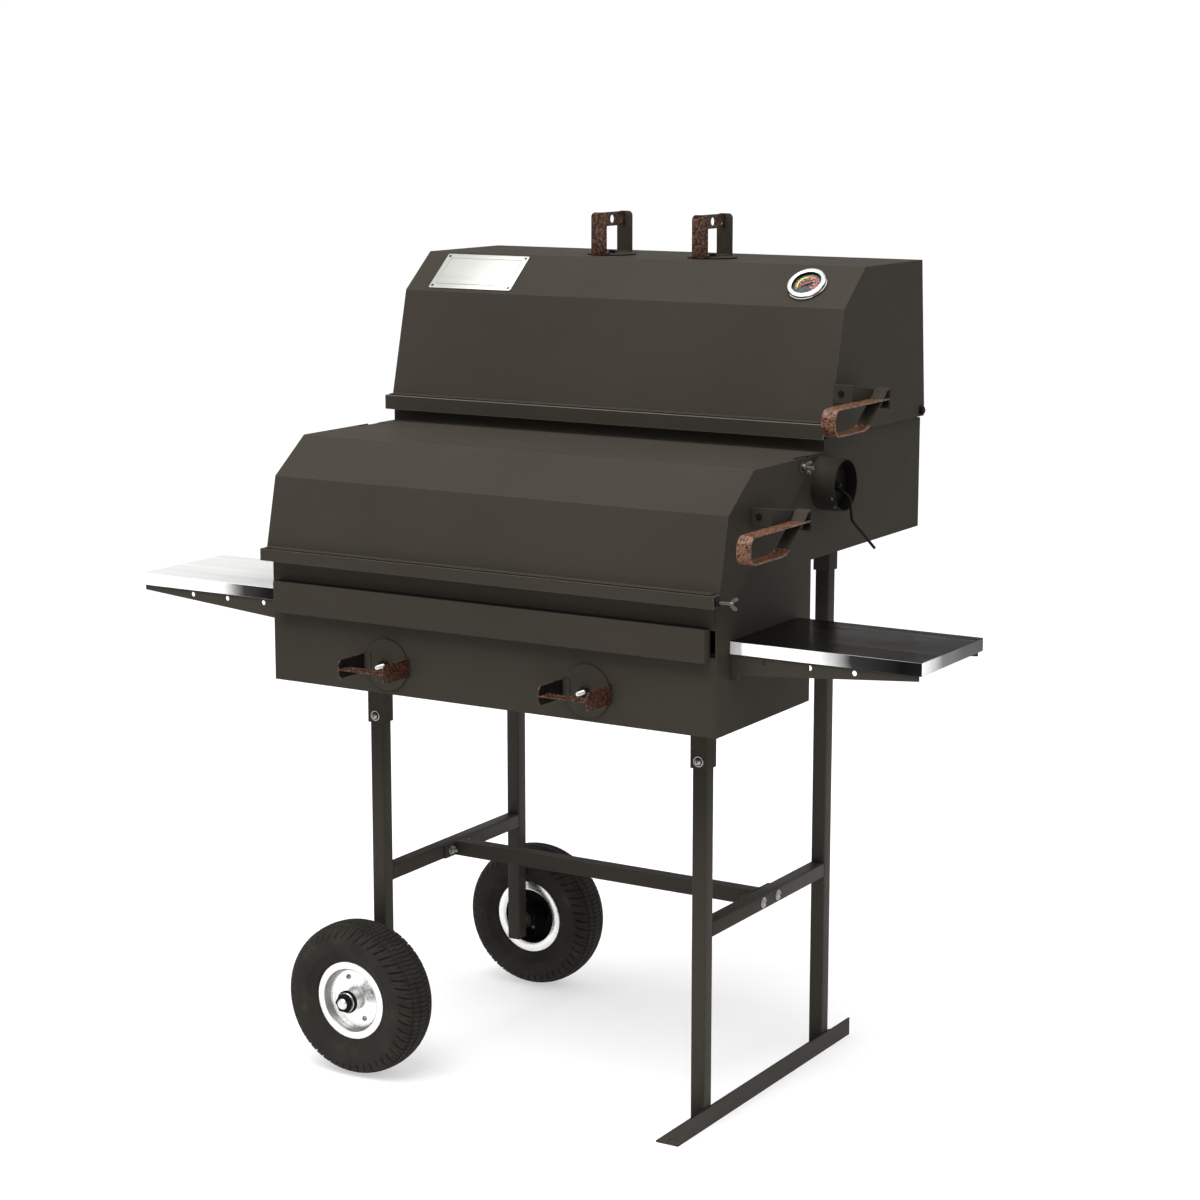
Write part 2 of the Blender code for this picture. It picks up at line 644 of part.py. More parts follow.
def damper(name, matrix, threaded_through):
    """A spin damper: disc, two ears and a drilled grip, with its hub, and a captive washer."""
    base = cylinder((0, 0), "Z", DAMPER_RADIUS, DAMPER_LIFT, DAMPER_LIFT + DAMPER_PLATE, 32)
    inner = DAMPER_EAR - DAMPER_PLATE
    add = [box((-DAMPER_EAR, -DAMPER_EAR_HALF, DAMPER_LIFT),
               (DAMPER_EAR, DAMPER_EAR_HALF, DAMPER_LIFT + 0.0024))]
    round_off = 0.008
    tip = [(-DAMPER_EAR_HALF, DAMPER_LIFT)]
    tip += arc((-DAMPER_EAR_HALF + round_off, DAMPER_HEIGHT - round_off), round_off, 180, 90, 3)
    tip += arc((DAMPER_EAR_HALF - round_off, DAMPER_HEIGHT - round_off), round_off, 90, 0, 3)
    tip += [(DAMPER_EAR_HALF, DAMPER_LIFT)]
    for side in (-1, 1):
        ends = sorted((side * inner, side * DAMPER_EAR))
        add.append(prism(tip, "X", ends[0], ends[1]))
    add.append(box((-inner - 0.001, -0.00125, 0.0485), (inner + 0.001, 0.00125, DAMPER_HEIGHT - 0.0003)))
    cut = [cylinder((place, 0.0605), "Y", 0.007, -0.01, 0.01, 12) for place in (-0.0265, 0, 0.0265)]
    if threaded_through:
        add.append(cylinder((0, 0), "Z", 0.0060, 0.002, 0.0085, 6))
        add.append(cylinder((0, 0), "Z", DAMPER_STUD, -0.030, 0.001, 12))
        ring = (-0.0295, -0.0275)
    else:
        add.append(cylinder((0, 0), "Z", 0.0085, 0.002, 0.010, 6))
        cut.append(cylinder((0, 0), "Z", DAMPER_STUD + 0.0005, -0.01, 0.02, 12))
        ring = (0.0104, 0.0122)
    pivot = tuple(matrix.translation)
    combine(base, add, "UNION")
    combine(base, cut, "DIFFERENCE")
    finish(name + "_valve", "handle", placed(base, matrix), pivot=pivot)
    washer = cylinder((0, 0), "Z", 0.0085, ring[0], ring[1], 16)
    combine(washer, [cylinder((0, 0), "Z", DAMPER_STUD + 0.0004, -0.05, 0.05, 12)], "DIFFERENCE")
    finish(name + "_washer", "zinc", placed(washer, matrix), pivot=pivot)


def dampers():
    for side, hand in ((-1, "left"), (1, "right")):
        damper("front_damper_" + hand,
               frame((side * FRONT_DAMPER_X, world(0), FRONT_DAMPER_Z), (1, 0, 0), (0, -1, 0)), False)
        place = (side * TOP_DAMPER_X, world(TOP_DAMPER_BACK), UPPER_LID_TOP_REAR[1])
        damper("top_damper_" + hand, frame(place, (0, 1, 0), (0, 0, 1)), True)


# Side pipe

def side_pipe():
    low = BODY_HALF_WIDTH + FIT
    centre = (world(PIPE_BACK), PIPE_Z)
    pipe = cylinder(centre, "X", PIPE_RADIUS, low, PIPE_END, 40)
    bore = cylinder(centre, "X", PIPE_RADIUS - PIPE_WALL, low - 0.01, PIPE_END + 0.01, 40)
    finish("side_pipe", "steel", pipe, (), [bore])

    disc = cylinder(centre, "X", PIPE_RADIUS - PIPE_WALL - 0.001, 0.434, 0.436, 40)
    stud = cylinder(centre, "X", 0.004, 0.430, 0.446, 16)
    rod = lever_rod([(0.4352, 0.3352, 1.0110), (0.4480, 0.3358, 1.0090), (0.4610, 0.3380, 0.9980),
                     (0.4640, 0.3400, 0.9630), (0.4830, 0.3840, 0.9140)], 0.0028)
    finish("pipe_shutter", "black", disc, [stud, rod], (), (0.435, centre[0], centre[1]))


def lever_rod(points, radius):
    """A round rod bent through the given points, as a closed tube."""
    curve = bpy.data.curves.new("rod", "CURVE")
    curve.dimensions = "3D"
    curve.bevel_depth = radius
    curve.bevel_resolution = 2
    curve.use_fill_caps = True
    curve.resolution_u = 1
    spline = curve.splines.new("POLY")
    spline.points.add(len(points) - 1)
    for target, (x, back, z) in zip(spline.points, points):
        target.co = (x, world(back), z, 1)
    holder = bpy.data.objects.new("rod", curve)
    bpy.context.collection.objects.link(holder)
    graph = bpy.context.evaluated_depsgraph_get()
    mesh = bpy.data.meshes.new_from_object(holder.evaluated_get(graph))
    bpy.data.objects.remove(holder, do_unlink=True)
    bm = bmesh.new()
    bm.from_mesh(mesh)
    bmesh.ops.remove_doubles(bm, verts=bm.verts, dist=0.00001)
    return temporary(bm)


# Cart

def square_tube(name, low, high, axis):
    """A square tube between two corners, open at both ends along the axis."""
    core_low = [value + LEG_WALL for value in low]
    core_high = [value - LEG_WALL for value in high]
    core_low[axis] = low[axis] - 0.01
    core_high[axis] = high[axis] + 0.01
    return finish(name, "steel", box(low, high), (), [box(core_low, core_high)])


def cart():
    half = LEG_SIZE / 2
    for side, hand in ((-1, "left"), (1, "right")):
        bottom = LEFT_LEG_BOTTOM if side < 0 else SHEET + FIT
        for place, back, top in (("front", LEG_FRONT, FIREBOX_BOTTOM), ("rear", LEG_REAR, UPPER_BOTTOM)):
            x = side * LEG_X
            square_tube("leg_" + place + "_" + hand, (x - half, world(back) - half, bottom),
                        (x + half, world(back) + half, top - 2 * FIT), 2)
        square_tube("cross_bar_" + hand,
                    (side * LEG_X - half, world(LEG_FRONT) + half + FIT, BAR_Z - half),
                    (side * LEG_X + half, world(LEG_REAR) - half - FIT, BAR_Z + half), 1)
    stretcher()
    foot_bar()


def stretcher():
    """The long tie: a square tube with a drilled flange at each end."""
    half = LEG_SIZE / 2
    reach = LEG_X - half - FIT
    base = box((-reach + 0.001, world(STRETCHER_BACK) - half, BAR_Z - half),
               (reach - 0.001, world(STRETCHER_BACK) + half, BAR_Z + half))
    add = []
    cut = [box((-reach + 0.003, world(STRETCHER_BACK) - half + LEG_WALL, BAR_Z - half + LEG_WALL),
               (reach - 0.003, world(STRETCHER_BACK) + half - LEG_WALL, BAR_Z - LEG_WALL + half)),
           cylinder((0, world(STRETCHER_BACK)), "Z", 0.004, BAR_Z - 0.02, BAR_Z, 12)]
    for side in (-1, 1):
        ends = sorted((side * (reach - 0.003), side * reach))
        add.append(box((ends[0], world(0.312), BAR_Z - half + 0.0005),
                       (ends[1], world(0.401), BAR_Z + half - 0.0005)))
    finish("stretcher", "steel", base, add, cut)


def foot_bar():
    """The angle iron that the two right legs stand on, with a mitred front end."""
    outer = LEG_X + LEG_SIZE / 2 + SHEET
    outline = [(outer - FOOT_WIDTH, 0), (outer, 0), (outer, FOOT_HEIGHT), (outer - SHEET + FIT, FOOT_HEIGHT),
               (outer - SHEET + FIT, SHEET), (outer - FOOT_WIDTH, SHEET)]
    base = prism(outline, "Y", world(FOOT_FRONT), world(FOOT_REAR))
    mitre = [(FOOT_FRONT - 0.01, SHEET + 0.001), (FOOT_FRONT, SHEET + 0.001),
             (FOOT_FRONT + FOOT_HEIGHT, FOOT_HEIGHT + 0.001), (FOOT_FRONT - 0.01, FOOT_HEIGHT + 0.001)]
    cut = [cylinder((0.3048, world(back)), "Z", 0.004, -0.01, 0.02, 16)
           for back in (FOOT_FRONT + 0.014, FOOT_REAR - 0.014)]
    cut.append(prism(yz(mitre), "X", outer - 0.01, outer + 0.01))
    finish("foot_bar", "steel", base, (), cut)


# Wheels

def wheel(which, back, inward):
    """A pneumatic tyre on a pressed rim, turning on a stub axle; inward is the leg's side."""
    centre = (WHEEL_X, world(back), TYRE_RADIUS)
    half = [(0.0300, 0.0667), (0.0370, 0.0760), (TYRE_HALF_WIDTH, 0.0960), (0.0435, 0.1080),
            (0.0365, 0.1205), (0.0220, 0.1280)]
    profile = half + [(0, TYRE_RADIUS)] + [(-along, radius) for along, radius in half[::-1]]
    finish(which + "_tyre", "rubber", revolve(profile, centre, "Y", 32), pivot=centre)

    bore = AXLE_RADIUS + 0.0003
    outside = [(HUB_HALF, bore), (HUB_HALF, 0.0165), (0.002, 0.0185), (0.002, 0.0450), (0.0290, 0.0530),
               (0.0290, RIM_RADIUS), (0.0265, RIM_RADIUS), (0.0265, 0.0560)]
    profile = outside + [(-along, radius) for along, radius in outside[::-1]]
    finish(which + "_rim", "zinc", revolve(profile, centre, "Y", 32), pivot=centre)

    leg_back = LEG_FRONT if inward > 0 else LEG_REAR
    face = leg_back - inward * (LEG_SIZE / 2 + FIT)
    hub_in = back + inward * (HUB_HALF + 0.0005)
    hub_out = back - inward * (HUB_HALF + 0.0005)

    def turned(radius, start, end, sides):
        low, high = sorted((world(start), world(end)))
        return cylinder((WHEEL_X, TYRE_RADIUS), "Y", radius, low, high, sides)

    shaft = turned(AXLE_RADIUS, face, hub_out - inward * 0.014, 24)
    pieces = [turned(0.0105, face - inward * 0.0001, hub_in, 20),
              turned(0.0140, hub_out, hub_out - inward * 0.002, 24),
              turned(0.0150, hub_out - inward * 0.0015, hub_out - inward * 0.010, 6)]
    finish(which + "_axle", "zinc", shaft, pieces)


# Shelves

def shelf(side):
    hand = "right" if side > 0 else "left"
    wall = 0.0015
    near = BODY_HALF_WIDTH + FIT
    ends = sorted((side * near, side * SHELF_OUT))
    base = box((ends[0], world(SHELF_FRONT), SHELF_TOP - SHELF_FOLD),
               (ends[1], world(SHELF_BACK), SHELF_TOP))
    hollow = box((ends[0] + wall, world(SHELF_FRONT + wall), SHELF_TOP - SHELF_FOLD - 0.01),
                 (ends[1] - wall, world(SHELF_BACK - wall), SHELF_TOP - wall))
    finish("shelf_" + hand, "bright", base, (), [hollow])

    inner = near + wall + FIT
    top = SHELF_TOP - wall - FIT
    outline = [(near, 0.757), (0.422, 0.757), (0.426, 0.765), (0.7185, 0.7885), (0.7185, top),
               (inner, top), (inner, SHELF_TOP - SHELF_FOLD - FIT), (near, SHELF_TOP - SHELF_FOLD - FIT)]
    for place, back, turn in (("front", SHELF_FRONT + wall + 0.0015, 1),
                              ("rear", SHELF_BACK - wall - 0.0015, -1)):
        low, high = sorted((world(back), world(back + turn * 0.0025)))
        plate = prism([(side * x, z) for x, z in outline], "Y", low, high)
        low, high = sorted((world(back + turn * 0.0005), world(back + turn * 0.020)))
        ends = sorted((side * near, side * (near + 0.0025)))
        flange = box((ends[0], low, 0.7575), (ends[1], high, SHELF_TOP - SHELF_FOLD - 0.001))
        holes = [cylinder((side * x, 0.7895), "Y", 0.0042, world(back - 0.03), world(back + 0.03), 12)
                 for x in (0.467, 0.543, 0.616)]
        finish("shelf_bracket_" + hand + "_" + place, "steel", plate, [flange], holes)


def build():
    clear_scene()
    for side in (-1, 1):
        side_plate(side)
        shelf(side)
    chamber_panels()
    grate("lower_grate", LOWER_GRATE)
    grate("upper_grate", UPPER_GRATE)
    drawer()
    lower_lid()
    upper_lid()
    hinge_bolts()
    wing_screw()
    thermometer()
    name_plate()
    dampers()
    side_pipe()
    cart()
    wheel("front_wheel", FRONT_WHEEL, 1)
    wheel("rear_wheel", REAR_WHEEL, -1)


build()
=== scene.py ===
"""Looks of the two-chamber offset smoker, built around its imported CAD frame. Metres, +Z up."""
import json
import math

import bmesh
import bpy
from mathutils import Matrix, Vector

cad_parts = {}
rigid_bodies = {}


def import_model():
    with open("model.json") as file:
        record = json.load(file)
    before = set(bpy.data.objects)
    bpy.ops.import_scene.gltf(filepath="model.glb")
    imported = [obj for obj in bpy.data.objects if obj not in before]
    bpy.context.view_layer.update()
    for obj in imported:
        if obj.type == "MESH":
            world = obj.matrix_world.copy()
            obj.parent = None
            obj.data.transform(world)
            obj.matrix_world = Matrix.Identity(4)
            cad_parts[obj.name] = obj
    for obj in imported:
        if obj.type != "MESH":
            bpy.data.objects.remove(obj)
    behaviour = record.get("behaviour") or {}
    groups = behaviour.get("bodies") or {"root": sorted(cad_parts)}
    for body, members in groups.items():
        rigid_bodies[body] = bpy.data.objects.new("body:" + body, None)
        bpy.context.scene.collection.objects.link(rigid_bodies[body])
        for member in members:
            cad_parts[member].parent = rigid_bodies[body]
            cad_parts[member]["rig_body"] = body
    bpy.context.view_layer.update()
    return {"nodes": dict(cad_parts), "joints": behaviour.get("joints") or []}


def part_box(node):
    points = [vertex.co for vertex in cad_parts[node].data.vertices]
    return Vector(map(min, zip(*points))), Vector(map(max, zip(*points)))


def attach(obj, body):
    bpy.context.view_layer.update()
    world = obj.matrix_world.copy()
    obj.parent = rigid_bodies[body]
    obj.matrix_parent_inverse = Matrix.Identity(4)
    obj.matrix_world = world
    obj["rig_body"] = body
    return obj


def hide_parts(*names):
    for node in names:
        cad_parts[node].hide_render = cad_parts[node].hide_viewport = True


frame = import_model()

JOINTS = {joint["name"]: joint for joint in frame["joints"]}

# Camera
CAMERA_PLACE = (2.30955, -3.79187, 1.62136)
CAMERA_LOOK = (-0.50833, 0.84152, -0.18286)
LENS = 82.0

# Folded sheet: rounding at its folds and at its cut edges
BEND = 0.0012
EDGE = 0.0005

# Inner and outer planes that the fasteners on the cheeks sit on
CHEEK_IN = 0.408
CHEEK_OUT = 0.4188

GRATE_BARS = 46
DAMPER_STUD = 0.0039

# Tyre: depth of the tread, cuts around it, and the section angle where it ends
TREAD_DEPTH = 0.0032
SIPES = 50
TREAD_EDGE = 76

X_AXIS = Vector((1, 0, 0))
Y_AXIS = Vector((0, 1, 0))
Z_AXIS = Vector((0, 0, 1))


# Shader helpers

def connect(socket, value):
    """Link a socket to another one, or set its own value."""
    if isinstance(value, bpy.types.NodeSocket):
        socket.id_data.links.new(value, socket)
    else:
        socket.default_value = value


def feed(node, **inputs):
    """Connect a node's inputs by name, with _ for a space."""
    for name, value in inputs.items():
        connect(node.inputs[name.replace("_", " ")], value)
    return node


def fresh(socket, kind, **inputs):
    """A new shader node in a socket's tree."""
    return feed(socket.id_data.nodes.new("ShaderNode" + kind), **inputs)


def new_material(name):
    """A material, its shader and its object coordinates."""
    made = bpy.data.materials.new(name)
    made.use_nodes = True
    nodes = made.node_tree.nodes
    return made, nodes["Principled BSDF"], nodes.new("ShaderNodeTexCoord").outputs["Object"]


def noise(place, scale, detail=3.0, distortion=0.0, stretch=None):
    """A noise texture's value, with an optional stretch of its coordinates."""
    if stretch:
        place = fresh(place, "Mapping", Vector=place, Scale=stretch).outputs["Vector"]
    made = fresh(place, "TexNoise", Vector=place, Scale=scale, Detail=detail, Distortion=distortion)
    return made.outputs["Fac"]


def ramp(value, stops):
    """A colour ramp with (position, colour) stops."""
    made = fresh(value, "ValToRGB", Fac=value)
    elements = made.color_ramp.elements
    for element, (position, colour) in zip(elements, stops):
        element.position = position
        element.color = (*colour, 1)
    for position, colour in stops[2:]:
        elements.new(position).color = (*colour, 1)
    return made.outputs["Color"]


def spread(value, low, high, start=0.3, end=0.7):
    """Map a value from start and end onto low and high."""
    made = fresh(value, "MapRange", Value=value, From_Min=start, From_Max=end, To_Min=low, To_Max=high)
    return made.outputs["Result"]


def maths(operation, *inputs):
    """A maths node's value; the first input is a socket."""
    made = fresh(inputs[0], "Math")
    made.operation = operation
    for socket, value in zip(made.inputs, inputs):
        connect(socket, value)
    return made.outputs[0]


def bumps(shader, *heights):
    """Chain (value, depth in metres) pairs into bump nodes."""
    normal = None
    for value, depth in heights:
        made = fresh(value, "Bump", Height=value, Distance=depth, Strength=1.0)
        if normal:
            connect(made.inputs["Normal"], normal)
        normal = made.outputs["Normal"]
    connect(shader.inputs["Normal"], normal)


def scaled(colour, share):
    return tuple(value * share for value in colour)


# Materials

def paint(name, colour, roughness, gloss, grain=0.00005, variation=0.06):
    """Satin heat-resistant paint: fine orange peel, faint clouds and rubbed patches."""
    made, shader, place = new_material(name)
    stops = [(0.35, scaled(colour, 1 - variation)), (0.65, scaled(colour, 1 + variation))]
    feed(shader, Base_Color=ramp(noise(place, 3.0, 5.0, 0.4), stops), Specular_IOR_Level=gloss,
         Roughness=spread(noise(place, 22.0, 5.0), roughness - 0.02, roughness + 0.03))
    bumps(shader, (noise(place, 2.5, 1.0), 0.00025), (noise(place, 700.0, 2.0), grain))
    return made


def mottled(name, copper, scale, curl, levels):
    """Hammered handle paint: copper patches between dark squiggles; levels are the tone steps."""
    made, shader, place = new_material(name)
    marks = noise(place, scale, 1.5, curl)
    fine = noise(place, scale * 5, 3.0)
    stops = [(level, scaled(copper, share)) for level, share in zip(levels, (0.09, 0.5, 0.95, 1.45))]
    feed(shader, Base_Color=ramp(maths("MULTIPLY_ADD", fine, 0.1, marks), stops),
         Roughness=spread(marks, 0.5, 0.38), Metallic=spread(marks, 0.0, 0.12), Specular_IOR_Level=0.25)
    bumps(shader, (marks, 0.0003), (fine, 0.00005))
    return made


def brushed(name, colour, roughness, stretch, depth=0.00002):
    """Sheet or plated metal with a fine directional grain."""
    made, shader, place = new_material(name)
    grain = noise(place, 60.0, 6.0, 0.0, stretch)
    smudge = noise(place, 9.0, 4.0, 0.8)
    total = maths("ADD", spread(grain, -0.05, 0.05), spread(smudge, roughness - 0.04, roughness + 0.05))
    feed(shader, Base_Color=ramp(smudge, [(0.3, scaled(colour, 0.9)), (0.7, colour)]), Roughness=total,
         Metallic=1.0)
    bumps(shader, (grain, depth))
    return made


def mirrored(name, axis, stops, roughness=0.14):
    """Polished sheet whose tone, a painted reflection, runs along an axis; stops are (place in metres, tone)
    pairs.
    """
    made, shader, place = new_material(name)
    along = fresh(place, "SeparateXYZ", Vector=place).outputs[axis]
    wander = noise(place, 14.0, 2.0)
    low = stops[0][0]
    high = stops[-1][0]
    share = spread(maths("ADD", along, spread(wander, -0.012, 0.012)), 0.0, 1.0, low, high)
    colour = ramp(share, [((at - low) / (high - low), (tone, tone, tone * 0.985)) for at, tone in stops])
    grain = noise(place, 60.0, 6.0, 0.0, (0.02, 1.0, 1.0))
    feed(shader, Base_Color=colour, Roughness=spread(grain, roughness - 0.04, roughness + 0.05),
         Metallic=spread(colour, 1.0, 0.4, 0.2, 0.9))
    bumps(shader, (grain, 0.00001), (wander, 0.0002))
    return made


def zinc_plate(name, colour=(0.7, 0.7, 0.69), roughness=0.28, depth=0.00003, metallic=1.0):
    """Zinc plating: a crystalline mottle over an uneven sheen."""
    made, shader, place = new_material(name)
    cells = fresh(place, "TexVoronoi", Vector=place, Scale=230.0).outputs["Distance"]
    smudge = noise(place, 40.0, 4.0)
    feed(shader, Base_Color=ramp(smudge, [(0.3, scaled(colour, 0.82)), (0.7, colour)]), Metallic=metallic,
         Roughness=spread(cells, roughness - 0.05, roughness + 0.09, 0.0, 1.0))
    bumps(shader, (smudge, depth))
    return made


def rubber(name):
    """Dusty tyre rubber."""
    made, shader, place = new_material(name)
    dust = noise(place, 30.0, 6.0, 0.5)
    stops = [(0.35, (0.015, 0.0132, 0.0108)), (0.62, (0.0235, 0.0208, 0.017)),
             (0.8, (0.04, 0.0355, 0.029))]
    feed(shader, Base_Color=ramp(dust, stops), Roughness=spread(dust, 0.66, 0.85), Specular_IOR_Level=0.12)
    bumps(shader, (dust, 0.0002), (noise(place, 900.0, 2.0), 0.00007))
    return made


def seasoned(name):
    """Bare steel darkened by heat, with scale and a little rust."""
    made, shader, place = new_material(name)
    scale = noise(place, 120.0, 6.0, 0.6)
    stops = [(0.32, (0.01, 0.009, 0.008)), (0.55, (0.045, 0.04, 0.036)), (0.74, (0.09, 0.05, 0.03))]
    feed(shader, Base_Color=ramp(scale, stops), Roughness=spread(scale, 0.45, 0.8), Metallic=0.6)
    bumps(shader, (scale, 0.0003))
    return made


def enamel(name, colour, roughness=0.4):
    """Printed or painted dial colour, with a faint unevenness."""
    made, shader, place = new_material(name)
    patches = noise(place, 300.0, 3.0)
    feed(shader, Base_Color=ramp(patches, [(0.35, scaled(colour, 0.85)), (0.65, colour)]),
         Roughness=spread(patches, roughness - 0.05, roughness + 0.05))
    return made


def clear_glass(name):
    """A thin pane: clear, with a surface reflection and faint dust."""
    made, shader, place = new_material(name)
    nodes = made.node_tree.nodes
    nodes.remove(shader)
    gloss = fresh(place, "BsdfGlossy", Roughness=spread(noise(place, 200.0, 5.0), 0.02, 0.08))
    mix = fresh(place, "MixShader", Fac=fresh(place, "Fresnel", IOR=1.04).outputs[0])
    connect(mix.inputs[1], fresh(place, "BsdfTransparent", Color=(0.93, 0.96, 0.95, 1)).outputs[0])
    connect(mix.inputs[2], gloss.outputs[0])
    connect(nodes["Material Output"].inputs["Surface"], mix.outputs[0])
    return made


# Painted reflections along the polished shelves, as (place in metres, tone)
SHELF_TOP_REFLECTION = [(-0.73, 0.95), (-0.6, 0.9), (-0.5, 0.84), (-0.41, 0.9), (0.3, 0.05), (0.41, 0.04),
             (0.55, 0.05), (0.62, 0.12), (0.68, 0.09), (0.73, 0.05)]
SHELF_FRONT_REFLECTION = [(-0.73, 0.95), (-0.545, 0.92), (-0.505, 0.04), (-0.45, 0.01), (-0.4, 0.006), (0.36, 0.6),
               (0.415, 0.95), (0.545, 0.92), (0.615, 0.03), (0.69, 0.006), (0.73, 0.01)]
SHELF_END_REFLECTION = [(-0.28, 0.9), (-0.24, 0.55), (-0.2, 0.14), (-0.12, 0.03), (-0.05, 0.01)]

MATERIALS = {
    "paint": paint("satin_bronze_paint", (0.0355, 0.0314, 0.0252), 0.5, 0.015),
    "pipe": paint("pipe_paint", (0.022, 0.0195, 0.0155), 0.5, 0.02),
    # Lighter paint for bevels: a painted highlight along the lids' folds.
    "edge": paint("painted_fold_highlight", (0.1, 0.093, 0.081), 0.45, 0.06),
    "cart": paint("cart_paint", (0.035, 0.0308, 0.0248), 0.5, 0.08, 0.00008),
    # Matt black for black parts, and painted shade on faces in gaps and recesses.
    "black": paint("matt_black_paint_and_painted_shade", (0.007, 0.0064, 0.006), 0.55, 0.06),
    "strap": mottled("mottled_strap_paint", (0.135, 0.06, 0.031), 250.0, 1.2, (0.485, 0.515, 0.55, 0.72)),
    # The damper grips: the strap's mottled paint darkened, as painted shade.
    "grip": mottled("mottled_paint_darkened_as_painted_shade", (0.095, 0.04, 0.022), 300.0, 0.8, (0.52, 0.56, 0.62, 0.74)),
    # The shelves' top, front and end faces carry painted reflections.
    "shelf_top": mirrored("polished_shelf_top_painted_reflection", 0, SHELF_TOP_REFLECTION, 0.16),
    "shelf_front": mirrored("polished_shelf_front_painted_reflection", 0, SHELF_FRONT_REFLECTION),
    "shelf_end": mirrored("polished_shelf_end_painted_reflection", 1, SHELF_END_REFLECTION),
    "plate": brushed("plate_stainless", (0.46, 0.46, 0.435), 0.5, (0.03, 1.0, 1.0)),
    "wing": zinc_plate("dark_zinc", (0.115, 0.11, 0.102), 0.42),
    "stud": zinc_plate("stud_zinc", (0.72, 0.72, 0.7), 0.4, 0.00002, 0.5),
    "chrome": brushed("bezel_chrome", (0.88, 0.88, 0.87), 0.14, (1.0, 1.0, 1.0), 0.00001),
    "zinc": zinc_plate("bright_zinc"),
    "dull": zinc_plate("dull_zinc", (0.36, 0.355, 0.34), 0.4),
    "rim": zinc_plate("rim_zinc", (0.9, 0.9, 0.89), 0.26, 0.000008),
    "rubber": rubber("tyre_rubber"),
    "grate": seasoned("seasoned_steel"),
    "dial": enamel("dial_black", (0.012, 0.013, 0.014), 0.35),
    "yellow": enamel("dial_yellow", (0.82, 0.6, 0.04)),
    "orange": enamel("dial_orange", (0.8, 0.2, 0.02)),
    "red": enamel("dial_red", (0.7, 0.02, 0.015)),
    "white": enamel("dial_white", (0.75, 0.75, 0.72)),
    "glass": clear_glass("gauge_glass"),
}


# Pieces

def add_piece(name, mesh, look, body, replaced=(), bevel=0.0, segments=2, sharp=32, edge=None):
    """Make a mesh, or a list of them, into a piece that rides on a body; edge is its bevels' look, a painted
    highlight on the lids' folds.
    """
    if isinstance(mesh, list):
        mesh = join(mesh)
    mesh.name = name
    made = bpy.data.objects.new(name, mesh)
    bpy.context.scene.collection.objects.link(made)
    mesh.materials.clear()
    mesh.materials.append(MATERIALS[look])
    mesh.shade_smooth()
    if bevel:
        modifier = made.modifiers.new("bevel", "BEVEL")
        modifier.width = bevel
        modifier.segments = segments
        modifier.limit_method = "ANGLE"
        modifier.angle_limit = math.radians(18)
        if edge:
            mesh.materials.append(MATERIALS[edge])
            modifier.material = 1
        weighted = made.modifiers.new("normals", "WEIGHTED_NORMAL")
        weighted.mode = "FACE_AREA"
        weighted.weight = 100
    else:
        mesh.set_sharp_from_angle(angle=math.radians(sharp))
    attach(made, body)
    if replaced:
        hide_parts(*replaced)
    return made


def second_look(piece, look, test):
    """Give the faces that pass a test, on their centre and normal, another material."""
    piece.data.materials.append(MATERIALS[look])
    index = len(piece.data.materials) - 1
    for face in piece.data.polygons:
        if test(face.center, face.normal):
            face.material_index = index


def drop_faces(piece, test):
    """Delete the faces of a piece whose centres pass a test."""
    bm = bmesh.new()
    bm.from_mesh(piece.data)
    gone = [face for face in bm.faces if test(face.calc_center_median())]
    bmesh.ops.delete(bm, geom=gone, context="FACES")
    bm.to_mesh(piece.data)
    bm.free()


def dress(node, look, bevel=EDGE, segments=2, edge=None):
    """A copy of a CAD node with clean faces and rounded edges."""
    source = frame["nodes"][node]
    bm = bmesh.new()
    bm.from_mesh(source.data)
    bmesh.ops.remove_doubles(bm, verts=bm.verts, dist=0.00002)
    bmesh.ops.dissolve_limit(bm, angle_limit=math.radians(0.6), verts=bm.verts, edges=bm.edges)
    return add_piece(node + "_skin", to_mesh(bm), look, source["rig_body"], [node], bevel, segments, edge=edge)


# Mesh helpers

def to_mesh(bm, matrix=None):
    """Finish a bmesh with its faces out, in place."""
    bmesh.ops.recalc_face_normals(bm, faces=bm.faces)
    mesh = bpy.data.meshes.new("piece")
    bm.to_mesh(mesh)
    bm.free()
    if matrix:
        mesh.transform(matrix)
    return mesh


def join(meshes):
    """One mesh from several."""
    bm = bmesh.new()
    for mesh in meshes:
        bm.from_mesh(mesh)
        bpy.data.meshes.remove(mesh)
    return to_mesh(bm)


def bridge(bm, rings, around=False, closed=True):
    """Quads between rings of vertices; around joins the last ring to the first."""
    for first, second in zip(rings, rings[1:] + rings[:1] if around else rings[1:]):
        for step in range(len(first) if closed else len(first) - 1):
            after = (step + 1) % len(first)
            bm.faces.new((first[step], first[after], second[after], second[step]))


def capped(bm, rings):
    """A closed skin over rings of vertices."""
    bridge(bm, rings)
    bm.faces.new(rings[0])
    bm.faces.new(rings[-1])


def frame_matrix(origin, along_u, along_w):
    """Local (u, v, w) axes to the row frame."""
    third = Vector(along_w).normalized()
    first = Vector(along_u).normalized()
    made = Matrix((first, third.cross(first), third)).transposed().to_4x4()
    made.translation = Vector(origin)
    return made


def facing(origin, axis):
    """A local frame whose w points along an axis."""
    return frame_matrix(origin, Vector(axis).orthogonal(), axis)


def mm(*points):
    """Points given in millimetres."""
    return [tuple(value / 1000 for value in point) for point in points]


def rectangle(low_u, low_v, high_u, high_v):
    return [(low_u, low_v), (high_u, low_v), (high_u, high_v), (low_u, high_v)]


